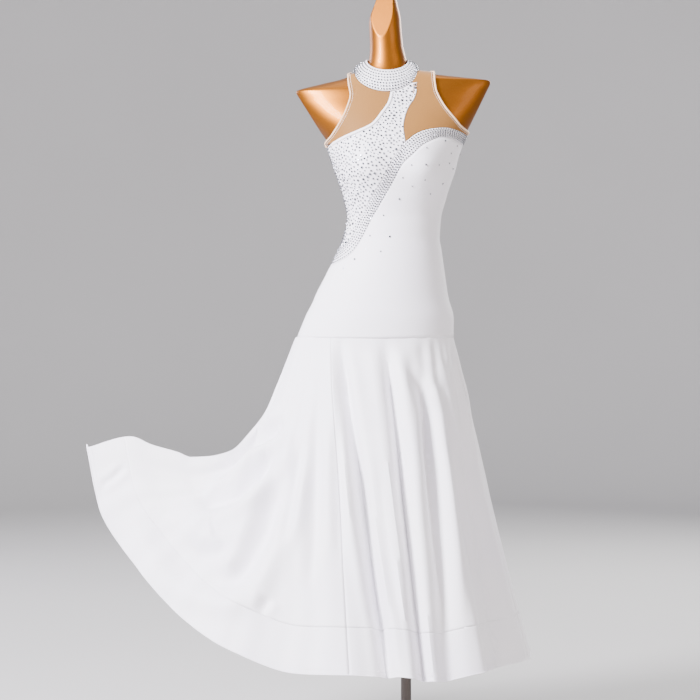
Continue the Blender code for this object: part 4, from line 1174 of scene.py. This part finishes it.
class DRESS_OT_bodice(bpy.types.Operator):
    """Build the crystal panel, its border, the front panel and the two back panels"""
    bl_idname = "dress.bodice"
    bl_label = "Bodice panels"

    def execute(self, context):
        panels, cloth = torso_panels(), look_of("crepe", stretch_crepe)
        for node in ("crystal_panel", "crystal_border", "front_panel", "back_left", "back_right"):
            cloth_piece(node + "_cloth", panels[node], cloth, node, "white_stretch_cloth")
        return {"FINISHED"}


class DRESS_OT_collar(bpy.types.Operator):
    """Build the stand collar, open at the centre back, with its rolled top edge"""
    bl_idname = "dress.collar"
    bl_label = "Stand collar"

    def execute(self, context):
        cloth = look_of("crepe", stretch_crepe)
        end = math.pi - (ZIP_HALF_WIDTH + 2 * SEAM) / COLLAR_TOP_RADIUS["side"]
        turn, up = np.meshgrid(np.linspace(-end, end, 121), np.linspace(1, 0.01, 16))
        cloth_piece("collar_cloth", collar_points(turn, up), cloth, "collar", "white_stretch_cloth")
        turn = np.linspace(-end, end, 121)
        points, faces = swept_tube(collar_points(turn, np.full_like(turn, 0.992)), 0.0011)
        mesh_piece("collar_rolled_edge", points, faces, cloth, slot="white_stretch_cloth",
                   uvs=rolled_uvs(turn * 0.045))
        return {"FINISHED"}


class DRESS_OT_mesh_yokes(bpy.types.Operator):
    """Build the nude mesh yokes, front and back"""
    bl_idname = "dress.mesh_yokes"
    bl_label = "Mesh yokes"

    def execute(self, context):
        panels, net = torso_panels(), look_of("mesh", power_mesh)
        for node in ("mesh_front_right", "mesh_front_left", "mesh_back_right", "mesh_back_left"):
            cloth_piece(node + "_net", panels[node], net, node, "nude_mesh")
        return {"FINISHED"}


class DRESS_OT_bindings(bpy.types.Operator):
    """Build the rolled nude elastic round each armhole and the white tapes along the strap's edges"""
    bl_idname = "dress.bindings"
    bl_label = "Armhole bindings and strap tapes"

    def execute(self, context):
        elastic, cloth = look_of("elastic", elastic_binding), look_of("crepe", stretch_crepe)
        for side, way in (("right", -1), ("left", 1)):
            shoulder = np.array([(way * math.pi / 2, SHOULDER_TOP_Z[side])])
            foot = np.array([(way * math.pi / 2, ARMHOLE_FOOT_Z[side])])
            front, back = (thread(ARMHOLE[side], 60, behind) for behind in (False, True))
            loop = even(np.concatenate([shoulder, front, foot, back[::-1], shoulder]), 161)[:-1]
            line = on_torso(loop[:, 0], loop[:, 1], BINDING_RADIUS + CLEAR)
            points, faces = swept_tube(line, 0.0020, sides=12, closed=True)
            mesh_piece("binding_" + side + "_elastic", points, faces, elastic, node="binding_" + side,
                       slot="nude_mesh")
        for name, points, width, shift in (("strap_tape_right", STRAP_RIGHT_EDGE, 0.0052, -0.0003),
                                           ("strap_tape_left", STRAP_LEFT_EDGE, 0.0030, 0.0003)):
            line = thread(points, 80)[10 if shift > 0 else 0:]
            way = -1 if shift < 0 else 1
            edges = [shifted(line, way * distance) for distance in (-0.0006, width / 2, width)]
            grid = np.stack([on_torso(pairs[:, 0], pairs[:, 1], LIFT + lift)
                             for pairs, lift in zip(edges, (0.0009, 0.0016, 0.0010))], axis=1)
            cloth_piece(name, grid if way > 0 else grid[:, ::-1], cloth, None, "white_stretch_cloth")
        return {"FINISHED"}


# Single crystals below the border, seen from the front: x, z
SINGLE_STONES = [
    (0.078, 1.292), (0.102, 1.285), (0.041, 1.273), (0.109, 1.271), (0.089, 1.268), (0.012, 1.239),
    (0.039, 1.240), (0.064, 1.241), (0.085, 1.247), (0.093, 1.238), (-0.006, 1.215), (0.037, 1.212),
    (0.072, 1.206), (0.012, 1.199), (0.047, 1.184), (-0.014, 1.172), (-0.045, 1.138), (-0.072, 1.095),
    (-0.033, 1.093), (-0.080, 1.066), (-0.051, 1.062), (-0.103, 1.046), (-0.126, 1.027)]


class DRESS_OT_crystals(bpy.types.Operator):
    """Set the crystals: scattered on the panel, in rows on the border and collar, single below"""
    bl_idname = "dress.crystals"
    bl_label = "Crystals"

    def execute(self, context):
        panels = torso_panels()
        usual = sizes().stone_mm / 2000
        cloth_face = sizes().wall_mm / 2000
        self.scattered(panels["crystal_panel"], panels["strap_edge"], usual, cloth_face)
        self.border(panels["crystal_border"], usual, cloth_face)
        self.collar(usual, cloth_face)
        angle_z = np.array([(float(angle_at(np.array(x), np.array(z))), z) for x, z in SINGLE_STONES])
        places = on_torso(angle_z[:, 0], angle_z[:, 1], LIFT + cloth_face)
        ahead = places - on_torso(angle_z[:, 0], angle_z[:, 1], LIFT)
        radii = usual * np.where(np.arange(len(places)) % 3 == 0, 1.0, 0.72)
        stones("crystals_single", places, ahead / np.linalg.norm(ahead, axis=1, keepdims=True), radii, 5)
        return {"FINISHED"}

    def scattered(self, grid, strap, usual, cloth_face):
        """Stones of three sizes, close together at random, clear of the strap's tape."""
        rng = np.random.default_rng(41)
        tries = STONE_TRIES
        row = rng.uniform(0.6, grid.shape[0] - 1.6, tries)
        column = rng.uniform(0.7, grid.shape[1] - 1.7, tries)
        places, normals = on_grid(grid, row, column), on_grid(normals_of(grid), row, column)
        normals /= np.linalg.norm(normals, axis=1, keepdims=True)
        places = places + normals * cloth_face
        radii = usual * rng.choice([0.74, 1.0, 1.28], size=tries, p=[0.30, 0.60, 0.10])
        tape = on_torso(strap[:, 0], strap[:, 1])
        gap = sizes().stone_gap_mm / 1000
        kept = np.zeros((0, 4))
        order = []
        for i in range(tries):
            if np.linalg.norm(tape - places[i], axis=1).min() < TAPE_CLEAR:
                continue
            if len(kept) and (np.linalg.norm(kept[:, :3] - places[i], axis=1)
                              < kept[:, 3] + radii[i] + gap).any():
                continue
            kept = np.vstack([kept, (*places[i], radii[i])])
            order.append(i)
        stones("crystals_scattered", places[order], normals[order], radii[order], 7)

    def border(self, grid, usual, cloth_face):
        """Neat rows of stones following the border's edges."""
        normals = normals_of(grid)
        count = sizes().border_rows
        rows, faces, radii = [], [], []
        for i in range(count):
            column = np.full(grid.shape[0], (grid.shape[1] - 1) * (0.10 + 0.80 * i / max(count - 1, 1)))
            line = on_grid(grid, np.linspace(0, grid.shape[0] - 1, grid.shape[0]) * 0.9999, column)
            facing = on_grid(normals, np.linspace(0, grid.shape[0] - 1, grid.shape[0]) * 0.9999, column)
            spaced = along_line(line)
            number = int(round(spaced[-1] / BORDER_STONE_PITCH))
            at = np.linspace(0.003, spaced[-1] - 0.004, number) + (0.0010 if i % 2 else 0.0)
            rows.append(np.stack([np.interp(at, spaced, line[:, k]) for k in range(3)], axis=1))
            faces.append(np.stack([np.interp(at, spaced, facing[:, k]) for k in range(3)], axis=1))
            radii.append(np.full(number, usual * 0.84))
        places, facing = np.concatenate(rows), np.concatenate(faces)
        facing /= np.linalg.norm(facing, axis=1, keepdims=True)
        stones("crystals_border", places + facing * cloth_face, facing, np.concatenate(radii), 11)

    def collar(self, usual, cloth_face):
        """Level rows of stones round the collar, clear of the zip."""
        places, facing = [], []
        for i in range(sizes().collar_rows):
            up = 0.10 + 0.80 * i / max(sizes().collar_rows - 1, 1)
            turn = np.linspace(-2.93, 2.93, 400)
            level = np.full_like(turn, up)
            line = collar_points(turn, level)
            spaced = along_line(line)
            at = np.linspace(0, spaced[-1], int(round(spaced[-1] / COLLAR_STONE_PITCH)))
            turn = np.interp(at, spaced, turn)
            level = np.full_like(turn, up)
            line = collar_points(turn, level)
            across = collar_points(turn + 0.01, level) - collar_points(turn - 0.01, level)
            rise = collar_points(turn, level + 0.01) - collar_points(turn, level - 0.01)
            normal = np.cross(across, rise)
            normal /= np.linalg.norm(normal, axis=1, keepdims=True)
            places.append(line + normal * cloth_face)
            facing.append(normal)
        places, facing = np.concatenate(places), np.concatenate(facing)
        stones("crystals_collar", places, facing, np.full(len(places), usual * 0.88), 13)


class DRESS_OT_seams(bpy.types.Operator):
    """Sew the bodice: rows of stitches beside the border and the strap's right edge, along the hip seam
    and sides, and round the armholes
    """
    bl_idname = "dress.seams"
    bl_label = "Bodice stitches"

    def execute(self, context):
        rows = []
        for points, shift in ((BORDER_FOOT, 0.0022), (STRAP_RIGHT_EDGE, -0.0064)):
            pairs = shifted(thread(points, 90), shift)
            rows.append((on_torso(pairs[:, 0], pairs[:, 1]), outward))
        for first, last in ((-89, 89), (91, 178), (-178, -91)):
            angle = np.radians(np.linspace(first, last, 80))
            rows.append((on_torso(angle, np.full_like(angle, HIP_Z + 0.0035)), outward))
        for way in (-1, 1):
            for offset in (-0.022, 0.022):
                z = np.linspace(1.030 if way < 0 else 1.270, HIP_Z + 0.006, 60)
                rows.append((on_torso(np.full_like(z, way * math.pi / 2 + offset), z), outward))
        stitched(rows, "bodice_stitches", white_thread())
        rows = []
        for side, way in (("right", -1), ("left", 1)):
            for behind in (False, True):
                pairs = shifted(thread(ARMHOLE[side], 70, behind), way * (-1 if behind else 1) * 0.0048)
                rows.append((on_torso(pairs[:, 0], pairs[:, 1]), outward))
        stitched(rows, "armhole_stitches", look_of("nude_thread", lambda: spun_thread("thread_nude_spun",
                                                                                      "#D9AE84")))
        return {"FINISHED"}


class DRESS_OT_zip(bpy.types.Operator):
    """Build the zip at the centre back: tape, interlocked teeth, slider and hinged pull"""
    bl_idname = "dress.zip"
    bl_label = "Zip"

    def execute(self, context):
        tape = look_of("crepe", stretch_crepe)
        across, z = np.meshgrid(np.linspace(ZIP_HALF_WIDTH, -ZIP_HALF_WIDTH, 9),
                                np.linspace(COLLAR_TOP["back"] - 0.002, ZIP_FOOT_Z, 160))
        grid = zip_point(across, z)
        cloth_piece("zip_tape", grid, tape, "zip", "zip_tape")
        # each side's teeth stand half a step from the other's
        levels = np.arange(ZIP_FOOT_Z + 0.004, COLLAR_TOP["back"] - 0.006, TOOTH_PITCH)
        centres, normals = [], []
        for way in (-1, 1):
            z = levels + (TOOTH_PITCH / 2 if way > 0 else 0.0)
            middle = zip_point(np.full_like(z, way * 0.00035), z)
            beside = zip_point(np.full_like(z, way * 0.00035 + 1e-4), z)
            below = zip_point(np.full_like(z, way * 0.00035), z - 1e-4)
            normal = np.cross(beside - middle, middle - below)
            normal *= np.sign(normal[:, 1:2])
            normal /= np.linalg.norm(normal, axis=1, keepdims=True)
            centres.append(middle + normal * 0.0005)
            normals.append(normal)
        centres, normals = np.concatenate(centres), np.concatenate(normals)
        scales = np.tile([0.0007, 0.0026, 0.0006], (len(centres), 1))
        scattered_meshes("zip_teeth", BOX, BOX_FACES, centres, normals,
                         np.tile([0.0, 0.0, 1.0], (len(centres), 1)), scales,
                         look_of("nylon", lambda: spun_thread("nylon_coil_moulded", "#EDEAEF")),
                         slot="zip_tape")
        self.hardware()
        return {"FINISHED"}

    def hardware(self):
        """Slider with its bridge, and the pull tab: a rounded plate, hung on the pin by rings."""
        zinc = look_of("zinc", cast_zinc)
        pin = Vector(PULL_PIN)
        parts = [rounded_plate(0.0062, 0.0085, 0.0028, 0.0014, pin + Vector((0, -0.0035, 0)))]
        for way in (-1, 1):
            cheek = pin + Vector((way * 0.0021, -0.0004, 0))
            parts.append(rounded_plate(0.0009, 0.0030, 0.0042, 0.0003, cheek))
        rod = np.array([(pin.x + x, pin.y, pin.z) for x in (-0.0022, 0.0, 0.0022)])
        parts.append(swept_tube(rod, 0.0005, sides=16))
        points, faces = joined(parts)
        slider = mesh_piece("zip_slider_cast", points, faces, zinc, node="zip_slider", slot="zip_metal",
                            sharp_deg=35)
        softened(slider, 0.00018)
        turn = np.linspace(0, 2 * math.pi, 24, endpoint=False)
        eye = np.stack([0 * turn + pin.x, pin.y + EYE_RADIUS * np.cos(turn),
                        pin.z + EYE_RADIUS * np.sin(turn)], axis=1)
        loop = [eye + (offset, 0, 0) for offset in (-0.0012, 0.0, 0.0012)]
        tab = rounded_plate(0.0056, 0.0180, 0.0014, 0.0026, pin - Vector((0, 0, 0.0118)))
        neck = rounded_plate(0.0026, 0.0034, 0.0013, 0.0003, pin - Vector((0, 0, 0.0024)))
        rings = [swept_tube(line, 0.00034, sides=8, closed=True) for line in loop]
        points, faces = joined([tab, neck] + rings)
        pull = mesh_piece("zip_pull_tab", points, faces, zinc, node="zip_pull", slot="zip_metal",
                          body="zip_pull", sharp_deg=35)
        softened(pull, 0.00018)


def rounded_plate(width, height, depth, corner, centre, steps=6):
    """An upright plate with rounded corners, its face to the back."""
    corner = min(corner, width / 2 - 1e-5, height / 2 - 1e-5)
    outline = []
    for quarter, (sx, sz) in enumerate(((1, 1), (-1, 1), (-1, -1), (1, -1))):
        for a in np.linspace(0, math.pi / 2, steps):
            turn = a + quarter * math.pi / 2
            outline.append((sx * (width / 2 - corner) + corner * math.cos(turn),
                            sz * (height / 2 - corner) + corner * math.sin(turn)))
    outline = np.array(outline)
    count = len(outline)
    points = np.array([(centre[0] + x, centre[1] + y, centre[2] + z) for y in (-depth / 2, depth / 2)
                       for x, z in outline])
    faces = [(i, (i + 1) % count, count + (i + 1) % count, count + i) for i in range(count)]
    return points, [face[::-1] for face in faces + end_caps(2, count)]


def softened(piece, width):
    """Round a hard piece's sharp edges."""
    bevel = piece.modifiers.new("Soft edges", "BEVEL")
    bevel.width = width
    bevel.segments = 2
    bevel.limit_method = "ANGLE"
    bevel.angle_limit = math.radians(40)


# Flats cut on the form: the shoulder stubs' ends and the neck's face, as outward direction, distance
# along it, and the lowest and highest level that it reaches
FORM_FLATS = [((-0.845, 0.0, -0.534), -0.5515, 1.29, 1.425),
              ((0.898, 0.0, -0.439), -0.4632, 1.29, 1.430),
              ((-0.28, -0.92, 0.25), 0.4259, 1.500, 1.620)]
FORM_BOTTOM = 0.801


class DRESS_OT_form(bpy.types.Operator):
    """Build the dress form's moulded shell: torso, shoulder stubs cut flat, and the neck"""
    bl_idname = "dress.form"
    bl_label = "Dress form"

    def execute(self, context):
        columns = 128
        levels = np.concatenate([np.linspace(FORM_BOTTOM, 1.37, 90, endpoint=False),
                                 np.linspace(1.37, 1.47, 60, endpoint=False),
                                 np.linspace(1.47, 1.6155, 60)])
        turn = np.linspace(-math.pi, math.pi, columns, endpoint=False)
        angle, z = np.meshgrid(turn, levels)
        points = body_point(angle, z, dress=False)
        for direction, offset, lowest, highest in FORM_FLATS:
            direction = np.array(direction) / np.linalg.norm(direction)
            beyond = np.clip(points @ direction - offset, 0, None)
            beyond = np.where((z > lowest) & (z < highest), beyond, 0.0)
            points = points - beyond[..., None] * direction
        rows = len(levels)
        faces = [face[::-1] for face in grid_faces(rows, columns, closed=True)]
        faces += end_caps(rows, columns)
        mesh_piece("form_shell", points, faces, look_of("gold", gold_lacquer), node="form_body",
                   slot="gold_lacquer", sharp_deg=38)
        return {"FINISHED"}


class DRESS_OT_stand(bpy.types.Operator):
    """Build the stand: the pole, and the round base with a rolled edge"""
    bl_idname = "dress.stand"
    bl_label = "Pole and base"

    def execute(self, context):
        steel = look_of("steel", dark_steel)
        pole = [(0.0, 0.0103), (0.0110, 0.0103), (0.0110, 0.7992), (0.0102, 0.7997), (0.0, 0.7997)]
        base = [(0.0, 0.0), (0.1465, 0.0), (0.1490, 0.0008), (0.1500, 0.0030), (0.1500, 0.0066),
                (0.1486, 0.0088), (0.1455, 0.0098), (0.1380, 0.0100), (0.0, 0.0100)]
        for name, outline in (("pole", pole), ("base", base)):
            points, faces = turned(outline, 96)
            mesh_piece("stand_" + name, points, faces, steel, node="form_" + name, slot="dark_steel",
                       sharp_deg=35)
        return {"FINISHED"}


def turned(outline, segments):
    """Points and faces of an outline of radii and heights turned about the origin's upright axis."""
    turn = np.linspace(0, 2 * math.pi, segments, endpoint=False)
    rings = [(r, z) for r, z in outline if r > 0]
    points = [(r * math.cos(a), r * math.sin(a), z) for r, z in rings for a in turn]
    faces = [face[::-1] for face in grid_faces(len(rings), segments, closed=True)]
    return np.array(points), faces + end_caps(len(rings), segments)


# Studio
CAMERA_DISTANCE = 4.0
FRAME_WIDTH = 1.47        # metres across the view at the dress
VIEW_CENTRE = (-0.1176, 0.8588)
CAMERA_Z = 0.95
LIGHTS = [  # name, place, what it looks at, width, power, colour
    ("key", (-2.7, -2.4, 2.6), (-0.1, 0.0, 0.9), 1.0, 780, "#F8F6FF"),
    ("fill", (2.6, -2.6, 1.6), (-0.1, 0.0, 0.8), 1.8, 60, "#FFEEE6"),
    ("top", (0.0, 0.0, 3.8), (0.0, 0.0, 0.9), 2.2, 60, "#FFFFFF"),
    ("back", (1.6, 3.2, 2.6), (-0.1, 0.0, 0.9), 1.6, 150, "#FFFFFF"),
    ("side", (-2.9, 2.7, 2.2), (-0.2, 0.0, 0.8), 1.4, 80, "#EEECFF"),
]


class DRESS_OT_stage(bpy.types.Operator):
    """Set the stage: pale floor curving up into its wall, soft lights and the camera"""
    bl_idname = "dress.stage"
    bl_label = "Stage"

    def execute(self, context):
        scene = context.scene
        bend = np.linspace(0.1, math.pi / 2, 14)
        radii = np.concatenate([np.linspace(0.05, FLOOR_FLAT, 14),
                                FLOOR_FLAT + FLOOR_BEND * np.sin(bend), [WALL_RADIUS, WALL_RADIUS]])
        heights = np.concatenate([np.full(14, -0.0002), FLOOR_BEND - FLOOR_BEND * np.cos(bend),
                                  [3.4, 5.0]])
        points, faces = turned(list(zip(radii, heights)), 96)
        faces = [face[::-1] for face in faces[:-1]]
        mesh = bpy.data.meshes.new("studio_floor")
        mesh.from_pydata(points.tolist(), [], faces)
        mesh.materials.append(look_of("floor", painted_floor))
        mesh.shade_smooth()
        floor = bpy.data.objects.new("studio_floor", mesh)
        scene.collection.objects.link(floor)

        world = bpy.data.worlds.new("studio_air")
        world.use_nodes = True
        world.node_tree.nodes["Background"].inputs["Color"].default_value = linear("#E8ECF4")
        world.node_tree.nodes["Background"].inputs["Strength"].default_value = WORLD_STRENGTH
        scene.world = world
        for name, place, target, width, power, tint in LIGHTS:
            lamp = bpy.data.lights.new("light_" + name, "AREA")
            lamp.shape = "SQUARE"
            lamp.size = width
            lamp.energy = power
            lamp.color = linear(tint)[:3]
            holder = bpy.data.objects.new("light_" + name, lamp)
            holder.location = place
            holder.rotation_euler = (Vector(target) - Vector(place)).to_track_quat("-Z", "Y").to_euler()
            scene.collection.objects.link(holder)

        camera = bpy.data.cameras.new("camera")
        camera.sensor_width = 36
        camera.lens = camera.sensor_width * CAMERA_DISTANCE / FRAME_WIDTH
        camera.shift_x = VIEW_CENTRE[0] / FRAME_WIDTH
        camera.shift_y = (VIEW_CENTRE[1] - CAMERA_Z) / FRAME_WIDTH
        holder = bpy.data.objects.new("camera", camera)
        holder.location = (0, -CAMERA_DISTANCE, CAMERA_Z)
        holder.rotation_euler = (math.pi / 2, 0, 0)
        scene.collection.objects.link(holder)
        scene.camera = holder
        return {"FINISHED"}


OPERATORS = (DRESS_OT_form, DRESS_OT_stand, DRESS_OT_bodice, DRESS_OT_mesh_yokes, DRESS_OT_skirt,
             DRESS_OT_hem_edge, DRESS_OT_collar, DRESS_OT_bindings, DRESS_OT_seams, DRESS_OT_crystals,
             DRESS_OT_zip, DRESS_OT_stage)


class DRESS_PT_panel(bpy.types.Panel):
    """Lists the dress's pieces, sizes and colours"""
    bl_label = "Ballroom dance dress"
    bl_idname = "DRESS_PT_panel"
    bl_space_type = "VIEW_3D"
    bl_region_type = "UI"
    bl_category = "Dress"

    def draw(self, context):
        column = self.layout.column()
        for group in (context.scene.dress_sizes, context.scene.dress_colours):
            for name in group.bl_rna.properties.keys():
                if name not in ("rna_type", "name"):
                    column.prop(group, name)
        for operator in OPERATORS:
            column.operator(operator.bl_idname)


CLASSES = (DressSizes, DressColours, *OPERATORS, DRESS_PT_panel)


def register():
    for made in CLASSES:
        bpy.utils.register_class(made)
    bpy.types.Scene.dress_sizes = PointerProperty(type=DressSizes)
    bpy.types.Scene.dress_colours = PointerProperty(type=DressColours)


def unregister():
    del bpy.types.Scene.dress_colours
    del bpy.types.Scene.dress_sizes
    for made in reversed(CLASSES):
        bpy.utils.unregister_class(made)


def main():
    register()
    for operator in OPERATORS:
        group, name = operator.bl_idname.split(".")
        getattr(getattr(bpy.ops, group), name)()
    bpy.context.view_layer.update()


if __name__ == "__main__":
    main()
